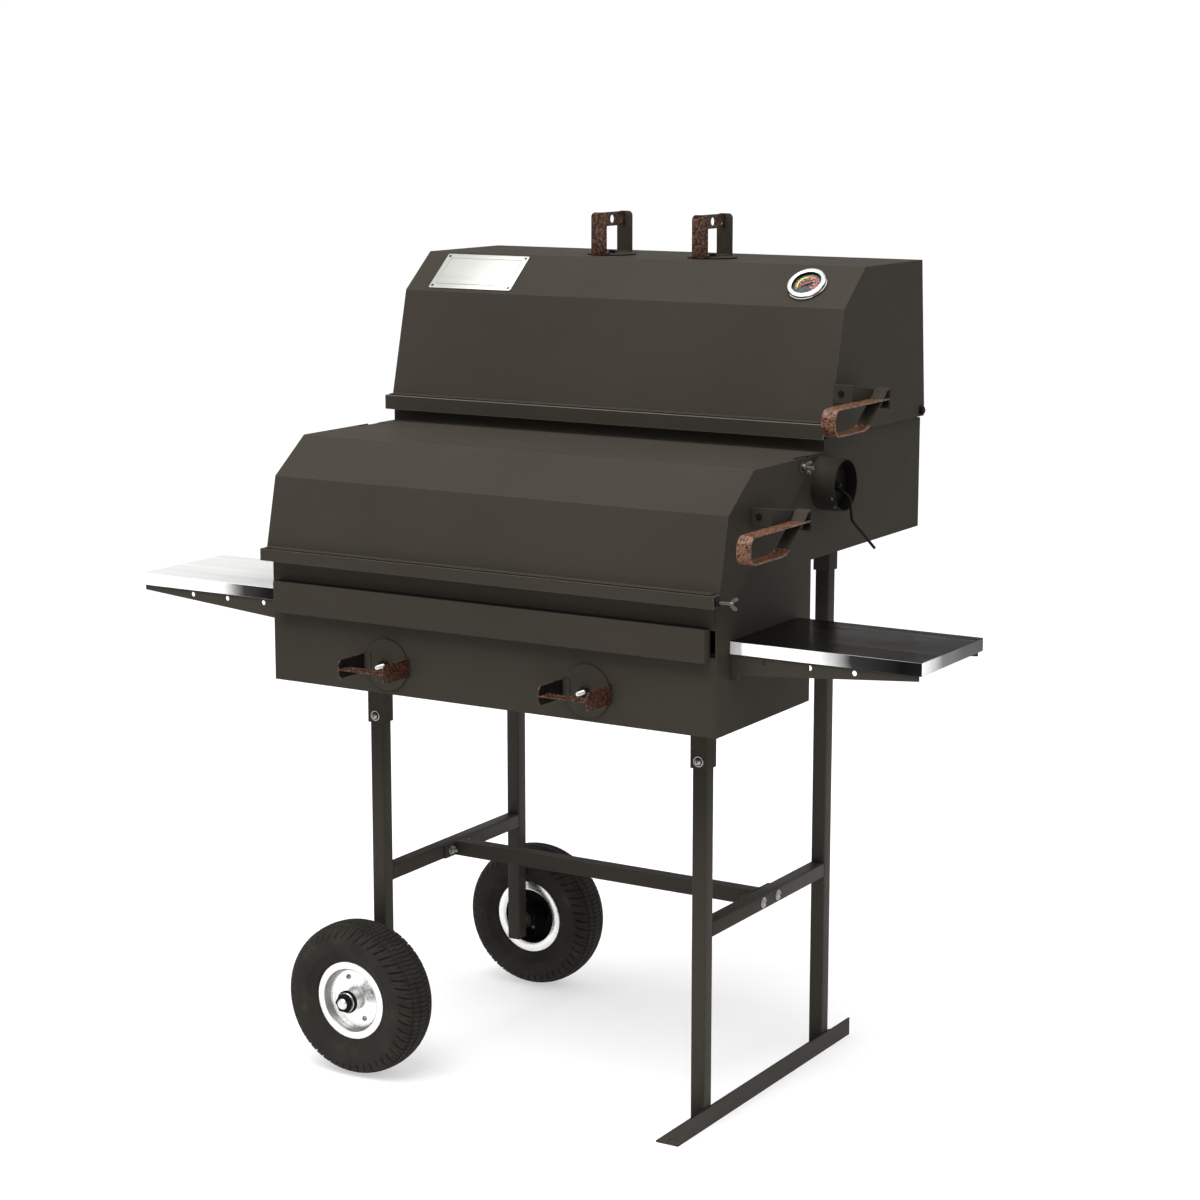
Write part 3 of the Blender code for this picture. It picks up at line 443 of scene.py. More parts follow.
def circle(centre, radius, sides=32):
    """Points on a circle."""
    turns = [2 * math.pi * index / sides for index in range(sides)]
    return [(centre[0] + radius * math.cos(turn), centre[1] + radius * math.sin(turn)) for turn in turns]


def arc(centre, radius, start, end, steps):
    """Points on an arc, with angles in degrees."""
    turns = [math.radians(start + (end - start) * index / steps) for index in range(steps + 1)]
    return [(centre[0] + radius * math.cos(turn), centre[1] + radius * math.sin(turn)) for turn in turns]


def corner(before, here, after, cut, steps):
    """Points on a curve that cuts the corner between two straight runs."""
    start = here + before.normalized() * cut
    end = here + after.normalized() * cut
    shares = [step / steps for step in range(steps + 1)]
    return [start.lerp(here, share).lerp(here.lerp(end, share), share) for share in shares]


def rounded(points, radius, steps=5):
    """Round the corners of a closed outline."""
    made = []
    for index, point in enumerate(points):
        here = Vector(point)
        before = Vector(points[index - 1]) - here
        after = Vector(points[(index + 1) % len(points)]) - here
        cut = min(radius, before.length / 2.01, after.length / 2.01)
        made += [tuple(place) for place in corner(before, here, after, cut, steps)]
    return made


def strip(points, thickness):
    """Outline of a bent strip: a path and its offset to the left."""
    offset = []
    for index, point in enumerate(points):
        here = Vector(point)
        before = (here - Vector(points[index - 1])).normalized() if index else None
        after = (Vector(points[index + 1]) - here).normalized() if index < len(points) - 1 else None
        before = before or after
        after = after or before
        first = Vector((-before.y, before.x))
        mitre = (first + Vector((-after.y, after.x))).normalized()
        offset.append(tuple(here + mitre * (thickness / mitre.dot(first))))
    return list(points) + offset[::-1]


def lathe(profile, matrix, sides=64):
    """Turn (radius, along) points about local w; a closed profile if neither end is on the axis."""
    bm = bmesh.new()
    rings = [[bm.verts.new((radius * x, radius * y, along)) for radius, along in profile]
             for x, y in circle((0, 0), 1, sides)]
    bridge(bm, rings, True, profile[0][0] > 0 and profile[-1][0] > 0)
    bmesh.ops.remove_doubles(bm, verts=bm.verts, dist=0.000001)
    return to_mesh(bm, matrix)


def extruded(outline, thickness, matrix):
    """A prism, with its outline in local u and v and its thickness centred on w."""
    bm = bmesh.new()
    capped(bm, [[bm.verts.new((u, v, w)) for u, v in outline] for w in (-thickness / 2, thickness / 2)])
    return to_mesh(bm, matrix)


def mesh_of(data):
    """The mesh of a curve or text."""
    holder = bpy.data.objects.new("holder", data)
    bpy.context.scene.collection.objects.link(holder)
    graph = bpy.context.evaluated_depsgraph_get()
    mesh = bpy.data.meshes.new_from_object(holder.evaluated_get(graph))
    bpy.data.objects.remove(holder, do_unlink=True)
    return mesh


def plate(outline, holes, thickness, matrix, edge=0.0004):
    """A flat plate with holes and softened edges, centred on local w."""
    curve = bpy.data.curves.new("outline", "CURVE")
    curve.dimensions = "2D"
    curve.fill_mode = "BOTH"
    curve.extrude = thickness / 2 - edge
    curve.bevel_depth = edge
    curve.bevel_resolution = 1
    curve.offset = -edge
    for points in [outline, *holes]:
        spline = curve.splines.new("POLY")
        spline.points.add(len(points) - 1)
        for target, point in zip(spline.points, points):
            target.co = (*point, 0, 1)
        spline.use_cyclic_u = True
    mesh = mesh_of(curve)
    bm = bmesh.new()
    bm.from_mesh(mesh)
    bmesh.ops.remove_doubles(bm, verts=bm.verts, dist=0.000005)
    bpy.data.meshes.remove(mesh)
    return to_mesh(bm, matrix)


def rod(points, radius, sides=16, smooth=6, bend=0.02):
    """A round rod along a smoothed path, with domed ends."""
    points = [Vector(point) for point in points]
    path = points[:1]
    for before, here, after in zip(points, points[1:], points[2:]):
        cut = min((before - here).length * 0.42, (after - here).length * 0.42, bend)
        path += corner(before - here, here, after - here, cut, smooth)
    path.append(points[-1])
    bm = bmesh.new()
    rings = []
    side = None
    for index, here in enumerate(path):
        ahead = path[min(index + 1, len(path) - 1)] - path[max(index - 1, 0)]
        ahead.normalize()
        if side is None:
            side = ahead.orthogonal().normalized()
        side = (side - ahead * side.dot(ahead)).normalized()
        other = ahead.cross(side)
        ends = [(1.0, 0.0)]
        if index == 0:
            ends = [(0.55, -0.75), (0.88, -0.4), (1.0, 0.0)]
        if index == len(path) - 1:
            ends = [(1.0, 0.0), (0.88, 0.4), (0.55, 0.75)]
        for share, shift in ends:
            middle = here + ahead * radius * shift
            rings.append([bm.verts.new(middle + side * x + other * y)
                          for x, y in circle((0, 0), radius * share, sides)])
    capped(bm, rings)
    return to_mesh(bm)


# Fasteners

def washer(origin, axis, radius, thick, bore=0.003):
    soft = thick * 0.3
    profile = [(bore, 0), (radius - soft, 0), (radius, soft), (radius, thick - soft),
               (radius - soft, thick), (bore, thick)]
    return lathe(profile, facing(origin, axis), 40)


def hex_head(origin, axis, radius, high, turn=0.0):
    """A hexagon nut or bolt head with a chamfered top."""
    bm = bmesh.new()
    capped(bm, [[bm.verts.new((x * share, y * share, along)) for x, y in circle((0, 0), radius, 6)]
                for share, along in ((1.0, 0.0), (1.0, high * 0.8), (0.87, high))])
    return to_mesh(bm, facing(origin, axis) @ Matrix.Rotation(turn, 4, "Z"))


def button_head(origin, axis, radius, high):
    """A domed screw head with a hexagon socket."""
    socket = radius * 0.36
    profile = [(0, high * 0.35), (socket, high * 0.35), (socket, high)]
    profile += [(radius * math.cos(angle), high * math.sin(angle))
                for angle in (math.radians(degrees) for degrees in (66, 52, 38, 24, 10, 0))]
    return lathe(profile + [(0, 0)], facing(origin, axis), 36)


def threaded_end(origin, axis, radius, long, pitch=0.00125):
    """A threaded shaft end: ridges and a chamfered tip."""
    profile = [(0, 0), (radius, 0)]
    for index in range(int(long / pitch) - 1):
        profile += [(radius * 0.88, (index + 0.5) * pitch), (radius, (index + 1.0) * pitch)]
    profile += [(radius * 0.8, long), (0, long)]
    return lathe(profile, facing(origin, axis), 28)


def wing_blades(origin, axis, reach, tilt):
    """The two rounded blades of a wing nut, leaning outwards along its axis."""
    outline = rounded([(0.001, -0.0005), (0.0045, -0.0005), (reach * 0.92, reach * 0.5),
                       (reach, reach * 1.12), (reach * 0.62, reach * 1.26), (0.002, 0.005)], 0.0035)
    base = facing(origin, axis) @ Matrix.Rotation(math.radians(tilt), 4, "Z")
    stand = Matrix.Rotation(math.radians(90), 4, "X")
    return join([plate(outline, [], 0.0022, base @ Matrix.Rotation(turn, 4, "Z") @ stand, 0.0007)
                 for turn in (0, math.pi)])


# Chambers

def centre_of(node):
    low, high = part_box(node)
    return (low + high) / 2


def chambers():
    for node in ("side_plate_left", "side_plate_right", "lower_front_panel", "front_top_rail",
                 "firebox_floor", "firebox_back", "upper_floor", "upper_back_panel", "mid_rail"):
        skin = dress(node, "paint", BEND if node.endswith("rail") else EDGE)
        if node == "lower_front_panel":
            face = JOINTS["front_left_turn"]["pos_m"][1]
            drop_faces(skin, lambda centre: centre.y < face - 0.0002)
    dress("charcoal_tray", "grate")
    for node in ("lower_grate", "upper_grate"):
        bar_grate(node)
    drawer_panel()
    weld_beads()


def bar_grate(node):
    """A grate of round bars in a round-bar frame."""
    low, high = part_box(node)
    middle = (low.z + high.z) / 2
    edge = 0.0035
    bars = [rod([(low.x + edge, y, middle), (high.x - edge, y, middle)], 0.003, 12)
            for y in (low.y + edge, high.y - edge)]
    for index in range(GRATE_BARS):
        x = low.x + edge + (high.x - low.x - 2 * edge) * index / (GRATE_BARS - 1)
        radius = 0.003 if index in (0, GRATE_BARS - 1) else 0.0022
        bars.append(rod([(x, low.y + edge, middle), (x, high.y - edge, middle)], radius, 10))
    add_piece(node + "_bars", bars, "grate", "smoker", [node])


def drawer_panel():
    """The drawer's front: a pan with rounded corners and a hollow back; its upward faces are black, a painted
    shadow of the gap above it.
    """
    low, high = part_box("drawer_front")
    depth = high.y - low.y
    half_x = (high.x - low.x) / 2
    half_z = (high.z - low.z) / 2
    wall = 0.002
    outer = rounded(rectangle(-half_x, -half_z, half_x, half_z), 0.004)
    inner = rounded(rectangle(wall - half_x, wall - half_z, half_x - wall, half_z - wall), 0.003)
    levels = [(inner, 0.9975, wall - depth, 0.96), (inner, 1, 0, 1), (outer, 1, 0, 1),
              (outer, 1, wall - depth, 1), (outer, 0.9988, 0.0006 - depth, 0.985),
              (outer, 0.9975, -depth, 0.96)]
    middle = Vector(((low.x + high.x) / 2, high.y, (low.z + high.z) / 2))
    bm = bmesh.new()
    capped(bm, [[bm.verts.new(middle + Vector((x * wide, y, z * tall))) for x, z in loop]
                for loop, wide, y, tall in levels])
    panel = add_piece("drawer_front_panel", to_mesh(bm), "paint", "drawer", ["drawer_front"])
    # Upward faces black: painted shadow in the gap above the drawer.
    second_look(panel, "black", lambda centre, normal: normal.z > 0.7)


def bead(start, end, radius, seed):
    """A short row of overlapping weld ripples."""
    ripples = max(int((end - start).length / 0.0024), 3)
    ahead = (end - start).normalized()
    side = ahead.orthogonal().normalized()
    other = ahead.cross(side)
    bm = bmesh.new()
    rings = []
    steps = ripples * 3
    for index in range(steps + 1):
        share = index / steps
        ripple = 0.86 + 0.14 * abs(math.sin(math.pi * ripples * share + seed))
        size = radius * ripple * min(1.0, 6 * min(share, 1 - share) + 0.35)
        here = start.lerp(end, share)
        rings.append([bm.verts.new(here + side * x + other * y) for x, y in circle((0, 0), size, 8)])
    capped(bm, rings)
    return to_mesh(bm)


def weld_beads():
    """Welds where the leg sockets meet the undersides of the floors."""
    meshes = []
    half = 0.0155
    for row, floor in (("front", "firebox_floor"), ("rear", "upper_floor")):
        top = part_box(floor)[1].z - 0.003
        for hand in ("left", "right"):
            middle = centre_of(f"leg_{row}_{hand}")
            for turn in range(4):
                angle = math.pi / 2 * turn
                along = Vector((-math.sin(angle), math.cos(angle), 0)) * half
                out = Vector((math.cos(angle), math.sin(angle), 0)) * half
                base = Vector((middle.x, middle.y, top)) + out
                meshes.append(bead(base - along, base + along, 0.0016, turn))
    add_piece("socket_welds", meshes, "cart", "smoker")


# Lids

def lids():
    for which in ("lower", "upper"):
        # The shells and lips get the lighter bevel paint: a painted highlight along their folds.
        for part, edge in (("_lid_shell", "edge"), ("_lid_lip", "edge"), ("_handle_bracket", None)):
            dress(which + part, "paint", BEND, 3, edge)
        lid_flange(which)
        handle_strap(which)
        bracket_bolts(which)


def lid_flange(which):
    """The thin fold along the bottom of a lid's front, just above its lip."""
    low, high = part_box(which + "_lid_lip")
    gap = 0.0008
    thick = 0.0014
    top = high.z + gap + thick
    outline = strip([(low.y + 0.003, top), (high.y + 0.001, top)], -thick)
    mesh = extruded(outline, 2 * (high.x - 0.007), frame_matrix((0, 0, 0), Y_AXIS, X_AXIS))
    add_piece(which + "_lid_flange", mesh, "paint", which + "_lid", bevel=0.0004)


def handle_strap(which):
    """The strap loop, bent from flat bar, with its rising stay."""
    node = which + "_handle_strap"
    body = which + "_lid"
    low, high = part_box(node)
    thick = 0.003
    bend = 0.019
    top = high.z - 0.0135
    tip = high.y
    nose = low.y + bend
    path = [(tip, top), (nose, top)]
    path += arc((nose, top - bend), bend, 90, 180, 12)[1:]
    path += arc((nose, low.z + bend), bend, 180, 270, 12)
    path += [(tip - 0.092, low.z), (tip - 0.08, low.z + 0.0018), (tip - 0.07, low.z + 0.007)]
    stay = [path[-1], (tip - 0.0151, top + 0.0035), (tip - 0.01, top + 0.01), (tip, high.z)]
    matrix = frame_matrix(((low.x + high.x) / 2, 0, 0), Y_AXIS, X_AXIS)
    width = high.x - low.x
    add_piece(which + "_handle_loop", extruded(strip(path, thick), width, matrix), "strap", body, [node],
              0.0008, 3)
    add_piece(which + "_handle_stay", extruded(strip(stay, thick), width - 0.0012, matrix), "paint", body,
              (), 0.0006)


def bracket_bolts(which):
    """Two dark bolts: one holds the bracket's wing, the other the strap's rear end."""
    low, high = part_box(which + "_handle_bracket")
    heads = []
    for place in ((low.x + 0.013, low.y, high.z - 0.014),
                  (high.x - 0.008, high.y - 0.0025, low.z + 0.0075)):
        heads.append(washer(place, -Y_AXIS, 0.0052, 0.0008))
        heads.append(hex_head(Vector(place) - Y_AXIS * 0.0008, -Y_AXIS, 0.0042, 0.003, 0.2))
    add_piece(which + "_bracket_bolts", heads, "black", which + "_lid", bevel=0.0002)


def hinges():
    """Hinge bolts with washers; the lower right one is held by a wing nut."""
    for which in ("lower", "upper"):
        y, z = JOINTS[which + "_lid_hinge"]["pos_m"][1:3]
        for side, hand in ((-1, "left"), (1, "right")):
            node = f"{which}_hinge_bolt_{hand}"
            low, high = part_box(node)
            axis = Vector((side, 0, 0))
            origin = Vector((side * CHEEK_OUT, y, z))
            winged = node == "lower_hinge_bolt_right"
            meshes = [washer(origin, axis, 0.0085, 0.0012)]
            if winged:
                meshes.append(lathe(mm((0, 0), (6.2, 0), (5.8, 5.2), (4.5, 7), (0, 7)),
                                    frame_matrix(origin + axis * 0.0012, Y_AXIS, axis), 36))
                meshes.append(wing_blades(origin + axis * 0.003, axis, 0.0105, 30))
            else:
                meshes.append(hex_head(origin + axis * 0.0012, axis, 0.0067, 0.0048, 0.3))
            meshes.append(hex_head((side * CHEEK_IN, y, z), -axis, 0.0064, 0.005, 0.1))
            long = (high.x - low.x) - 0.004
            start = low.x if side > 0 else high.x
            meshes.append(threaded_end((start + side * long, y, z), -axis, 0.0034, long))
            add_piece(node + "_set", meshes, "wing" if winged else "black", "smoker", [node], 0.0002)


def lip_wing_screw():
    """The wing screw in the lower lip's right end, with its nut."""
    node = "lip_wing_screw"
    y, z = JOINTS["lip_screw_turn"]["pos_m"][1:3]
    low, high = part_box(node)
    head = 0.441
    meshes = [
        threaded_end((low.x, y, z), X_AXIS, 0.0026, high.x - low.x - 0.02, 0.001),
        lathe(mm((0, 0), (3, 0), (3.2, 3.4), (2.6, 5.2), (0, 5.2)),
              frame_matrix((head, y, z), Y_AXIS, X_AXIS), 36),
        wing_blades((head + 0.0008, y, z), X_AXIS, 0.01, 35),
    ]
    add_piece("lip_wing_screw_set", meshes, "wing", "lip_screw", [node])
    nut = hex_head((CHEEK_OUT, y, z), X_AXIS, 0.0072, 0.0046)
    add_piece("lip_wing_screw_nut", nut, "black", "lip_screw", bevel=0.0003)


# Fittings on the upper lid

def slope_matrix(node):
    """Local axes at a round or flat fitting on the upper lid's slope."""
    joint = JOINTS["thermometer_needle_turn"]
    normal = Vector(joint["axis"])
    needle_height = 0.0059
    origin = Vector(joint["pos_m"]) - normal * needle_height
    if node != "thermometer":
        origin.x = centre_of(node).x
    return frame_matrix(origin, X_AXIS, normal)


def ring_sector(inner, outer, start, end, matrix):
    """A flat sector printed on the dial; angles in degrees, clockwise from up."""
    turns = [math.radians(90 - (start + (end - start) * index / 40)) for index in range(41)]
    outline = [(outer * math.cos(angle), outer * math.sin(angle)) for angle in turns]
    outline += [(inner * math.cos(angle), inner * math.sin(angle)) for angle in reversed(turns)]
    return extruded(outline, 0.00015, matrix @ Matrix.Translation((0, 0, 0.004575)))


def thermometer():
    """The lid thermometer: bezel, black rings of painted shade around and inside the bezel, dial with coloured
    arc and marks, pointer and pane.
    """
    matrix = slope_matrix("thermometer") @ Matrix.Diagonal((0.93, 0.93, 0.92, 1))
    bezel = mm((26.2, 4), (26.2, 8.6), (26.8, 9.4), (29, 9.9), (31.5, 10), (33.6, 9.2), (34.8, 7.4),
               (35, 5), (34.2, 4.2), (34.2, 3), (35, 2), (35, 0.3), (4, 0.3), (4, -68), (2.8, -70),
               (0, -70), (0, 4))
    add_piece("thermometer_bezel", lathe(bezel, matrix, 96), "chrome", "upper_lid", ["thermometer_case"])
    # Black rings: painted shade at the bezel's outer foot and a painted shadow inside the bezel wall.
    outer = mm((30, 0.1), (35.8, 0.1), (36, 0.7), (35.6, 1.3), (30, 1.3))
    inner = mm((24.6, 4.4), (26.2, 4.4), (26.3, 8.4), (25.2, 8))
    add_piece("thermometer_painted_shade_rings", [lathe(outer, matrix, 96), lathe(inner, matrix, 96)], "black",
              "upper_lid")
    dial = lathe(mm((0, 4.1), (26, 4.1), (26, 4.5), (0, 4.5)), matrix, 72)
    add_piece("thermometer_dial", dial, "dial", "upper_lid")
    for colour, start, end in (("yellow", -126, -14), ("orange", -13, 36), ("red", 37, 134)):
        mesh = ring_sector(0.0158, 0.0186, start, end, matrix)
        add_piece("thermometer_arc_" + colour, mesh, colour, "upper_lid")
    ticks = []
    for index in range(27):
        angle = -130 + 260 * index / 26
        inner, wide = (0.0203, 0.7) if index % 2 else (0.0195, 1.2)
        ticks.append(ring_sector(inner, 0.0215, angle - wide, angle + wide, matrix))
    add_piece("thermometer_marks", ticks + dial_numbers(matrix), "white", "upper_lid")
    needle(matrix)
    pane = lathe(mm((0, 7.8), (25.7, 7.8), (25.7, 8.8), (15, 9.2), (0, 9.3)), matrix, 64)
    add_piece("thermometer_pane", pane, "glass", "upper_lid", ["thermometer_glass"])


def dial_numbers(matrix):
    """Plain numbers, in tens of degrees Celsius, inside the coloured arc."""
    made = []
    for index, number in enumerate(range(0, 40, 5)):
        angle = math.radians(-126 + 260 * index / 7.2)
        text = bpy.data.curves.new("number", "FONT")
        text.body = str(number)
        text.size = 0.004
        text.extrude = 0.00006
        text.align_x = "CENTER"
        text.align_y = "CENTER"
        mesh = mesh_of(text)
        place = Matrix.Translation((0.0128 * math.sin(angle), 0.0128 * math.cos(angle), 0.0046))
        mesh.transform(matrix @ place)
        made.append(mesh)
    return made


def needle(matrix):
    """The pointer, at the cold end of the scale."""
    turned = matrix @ Matrix.Rotation(math.radians(122), 4, "Z") @ Matrix.Translation((0, 0, 0.006))
    outline = mm((-1.1, -8.8), (1.1, -8.8), (1.9, -2), (1.5, 2), (0.3, 19.6), (-0.3, 19.6), (-1.5, 2),
                 (-1.9, -2))
    cap = lathe(mm((0, 0.1), (2.6, 0.1), (2.6, 0.9), (1.8, 1.4), (0, 1.5)), turned, 32)
    add_piece("thermometer_pointer_red", [plate(outline, [], 0.0007, turned, 0.0002), cap], "red",
              "thermometer_pointer", ["thermometer_needle"])


def name_plate():
    """A blank plate with clipped corners, a pressed border and four rivets."""
    matrix = slope_matrix("name_plate")
    low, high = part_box("name_plate")
    half_x = (high.x - low.x) / 2
    half_y = 0.042
    clip = 0.002

    def outline(inset):
        x = half_x - inset
        y = half_y - inset
        return [(x - clip, -y), (x, -y + clip), (x, y - clip), (x - clip, y), (clip - x, y), (-x, y - clip),
                (-x, clip - y), (clip - x, -y)]

    sheet = plate(outline(0), [], 0.0015, matrix @ Matrix.Translation((0, 0, 0.00105)), 0.0003)
    add_piece("name_plate_blank", sheet, "plate", "upper_lid", ["name_plate"])
    border = plate(outline(0.0098), [outline(0.011)], 0.0005, matrix @ Matrix.Translation((0, 0, 0.0019)),
                   0.0001)
    add_piece("name_plate_border", border, "dull", "upper_lid")
    rivets = []
    for x in (-1, 1):
        for y in (-1, 1):
            origin = matrix @ Vector((x * (half_x - 0.0058), y * (half_y - 0.0058), 0.0017))
            rivets.append(button_head(origin, matrix.to_3x3() @ Z_AXIS, 0.0024, 0.0011))
    add_piece("name_plate_rivets", rivets, "black", "upper_lid")


# Spin dampers

def damper(row, hand):
    """A spin damper's disc, ears, drilled grip, feet, hub and loose washer."""
    front = row == "front"
    joint = JOINTS[f"{row}_{hand}_turn"]
    axis = Vector(joint["axis"])
    matrix = frame_matrix(joint["pos_m"], X_AXIS if front else Y_AXIS, axis)
    node = f"{row}_damper_{hand}_valve"
    body = f"{row}_{hand}_valve"

    def up(height):
        return matrix @ Vector((0, 0, height))

    profile = mm((0, 0.4), (41.2, 0.4), (41.9, 0.9), (41.9, 2.1), (41.3, 2.6), (0, 2.6))
    disc = add_piece(node + "_disc", lathe(profile, matrix, 96), "paint", body, [node])
    # The disc's rim side is black: painted shadow where the disc stands off the panel.
    second_look(disc, "black", lambda centre, normal: abs(normal.dot(axis)) < 0.5)
    low = 0.001
    high = 0.0725
    half = 0.015
    bend = 0.008
    thick = 0.0024
    ear_face = 0.0439
    reach = 0.0418
    hole_height = 0.0603
    outline = [(-half, low), (half, low)] + arc((half - bend, high - bend), bend, 0, 90, 8)
    outline += arc((bend - half, high - bend), bend, 90, 180, 8)
    for side in (-1, 1):
        stand = matrix @ frame_matrix((side * (ear_face - thick / 2), 0, 0), Y_AXIS, X_AXIS)
        mesh = plate(outline, [], thick, stand, 0.0005)
        ear = add_piece(f"{node}_ear_{'a' if side < 0 else 'b'}", mesh, "grip", body)
        inward = matrix.to_3x3() @ Vector((-side, 0, 0))
        second_look(ear, "black" if front else "paint", lambda centre, normal: normal.dot(inward) > 0.7)
    holes = [circle((place, hole_height), 0.007, 36) for place in (-0.0265, 0.0, 0.0265)]
    stand = matrix @ frame_matrix((0, 0, 0), X_AXIS, -Y_AXIS)
    web = plate(rectangle(-reach, 0.0485, reach, 0.0722), holes, thick, stand, 0.0005)
    add_piece(node + "_web", web, "grip", body)
    feet = []
    for start, end in ((-0.042, -0.029), (0.029, 0.042)):
        shape = rounded(rectangle(start, -half, end, half), 0.003)
        feet.append(plate(shape, [], 0.002, matrix @ Matrix.Translation((0, 0, 0.0036)), 0.0004))
    add_piece(node + "_feet", feet, "paint", body)
    hub = [hex_head(up(0.0026), axis, 0.0062, 0.005, 0.4)]
    if not front:
        hub.append(washer(up(0.0023), axis, 0.0105, 0.001, 0.004))
        hub.append(threaded_end(up(-0.0002), -axis, DAMPER_STUD, 0.0295))
    add_piece(node + "_hub", hub, "black", body, bevel=0.0002)
    ring = f"{row}_damper_{hand}_washer"
    loose = washer(up(0.0104 if front else -0.0295), axis, 0.0084, 0.0017, DAMPER_STUD + 0.0004)
    add_piece(ring + "_ring", loose, "black" if front else "zinc", f"{row}_{hand}_nut", [ring])


def dampers():
    for row in ("front", "top"):
        for hand in ("left", "right"):
            damper(row, hand)
    for hand in ("left", "right"):
        joint = JOINTS[f"front_{hand}_turn"]
        stud = threaded_end(Vector(joint["pos_m"]) + Y_AXIS * 0.001, joint["axis"], 0.0034, 0.0305)
        add_piece(f"front_damper_{hand}_stud", stud, "stud", "smoker")


# Side pipe

def side_pipe():
    """The draught pipe with its weld, screws and shutter."""
    low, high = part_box("side_pipe")
    middle = centre_of("side_pipe")
    matrix = frame_matrix((0, middle.y, middle.z), Y_AXIS, X_AXIS)
    outer = (high.z - low.z) / 2
    inner = outer - 0.002
    soft = 0.0006
    profile = [(inner, low.x), (outer, low.x), (outer, high.x - soft), (outer - soft, high.x),
               (inner + soft, high.x), (inner, high.x - soft)]
    tube = add_piece("side_pipe_tube", lathe(profile, matrix, 96), "pipe", "smoker", ["side_pipe"])

    def on_bore(centre, normal):
        return (centre - middle).yz.length < inner + 0.0003 and abs(normal.x) < 0.5

    # The bore is black: painted shade inside the pipe.
    second_look(tube, "black", on_bore)
    weld = [(outer, low.x + 0.002), (outer + 0.0007, low.x + 0.0012), (outer + 0.0014, low.x),
            (outer, low.x)]
    add_piece("side_pipe_weld", lathe(weld, matrix, 96), "paint", "smoker")
    screws = []
    for degrees in (205, 228):
        out = Vector((0, math.cos(math.radians(degrees)), math.sin(math.radians(degrees))))
        origin = Vector((high.x - 0.006, middle.y, middle.z)) + out * (outer - 0.0002)
        screws.append(button_head(origin, out, 0.0028, 0.0015))
    add_piece("side_pipe_screws", screws, "wing", "smoker")
    shutter()


def shutter():
    """The pipe's shutter disc with its stud, and the lever bent from its stud to its tip."""
    joint = Vector(JOINTS["pipe_flap_turn"]["pos_m"])
    face = joint + X_AXIS * 0.001
    disc = mm((0, -1), (38, -1), (38.4, 0), (38, 1), (0, 1))
    meshes = [lathe(disc, frame_matrix(joint, Y_AXIS, X_AXIS), 72), hex_head(face, X_AXIS, 0.0065, 0.005),
              threaded_end(face, X_AXIS, 0.0039, 0.01)]
    add_piece("pipe_shutter_disc", meshes, "black", "pipe_flap", ["pipe_shutter"])
    low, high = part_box("pipe_shutter")
    points = [(0.4352, joint.y + 0.0002, 1.011), (0.448, joint.y + 0.0008, 1.009),
              (0.461, joint.y + 0.003, 0.998), (0.464, joint.y + 0.005, 0.963),
              (high.x - 0.003, high.y - 0.0022, low.z + 0.0028)]
    add_piece("pipe_shutter_lever", rod(points, 0.0024, bend=0.003), "black", "pipe_flap")


# Cart

def square_tube(node, axis):
    """A square tube with rounded corners, open at its ends."""
    low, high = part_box(node)
    order = [place for place in range(3) if place != axis]
    middle = (low + high) / 2
    half_u, half_v = ((high[place] - low[place]) / 2 for place in order)
    bm = bmesh.new()
    rings = []
    for inset, radius, along in ((0.002, 0.0015, low[axis]), (0.0004, 0.0026, low[axis]),
                                 (0, 0.003, low[axis] + 0.0004), (0, 0.003, high[axis] - 0.0004),
                                 (0.0004, 0.0026, high[axis]), (0.002, 0.0015, high[axis])):
        ring = []
        corners = rectangle(inset - half_u, inset - half_v, half_u - inset, half_v - inset)
        for u, v in rounded(corners, radius, 4):
            point = [0, 0, 0]
            point[order[0]] = middle[order[0]] + u
            point[order[1]] = middle[order[1]] + v
            point[axis] = along
            ring.append(bm.verts.new(point))
        rings.append(ring)
    bridge(bm, rings, True)
    add_piece(node + "_tube", to_mesh(bm), "cart", "smoker", [node], sharp=50)


def cart():
    for row in ("front", "rear"):
        for hand in ("left", "right"):
            square_tube(f"leg_{row}_{hand}", 2)
    for hand in ("left", "right"):
        square_tube("cross_bar_" + hand, 1)
    dress("stretcher", "cart", BEND)
    dress("foot_bar", "cart", BEND)
    leg_bolts()
    stretcher_bolts()
    leg_end_plugs()


def leg_bolts():
    """A washer, a black ring and a screw through each leg's socket; the ring is painted shade in the gap
    between washer and head.
    """
    bolts = []
    rings = []
    for row, face, floor in (("front", -1, "firebox_floor"), ("rear", 1, "upper_floor")):
        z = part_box(floor)[0].z + 0.012
        axis = Y_AXIS * face
        for hand in ("left", "right"):
            middle = centre_of(f"leg_{row}_{hand}")
            origin = Vector((middle.x, middle.y, z)) + axis * 0.015
            bolts.append(washer(origin, axis, 0.0088, 0.0014))
            rings.append(washer(origin + axis * 0.0014, axis, 0.0068, 0.0008))
            bolts.append(button_head(origin + axis * 0.0022, axis, 0.0054, 0.0034))
    add_piece("leg_bolts", bolts, "dull", "smoker")
    add_piece("leg_bolt_painted_shade_rings", rings, "black", "smoker")


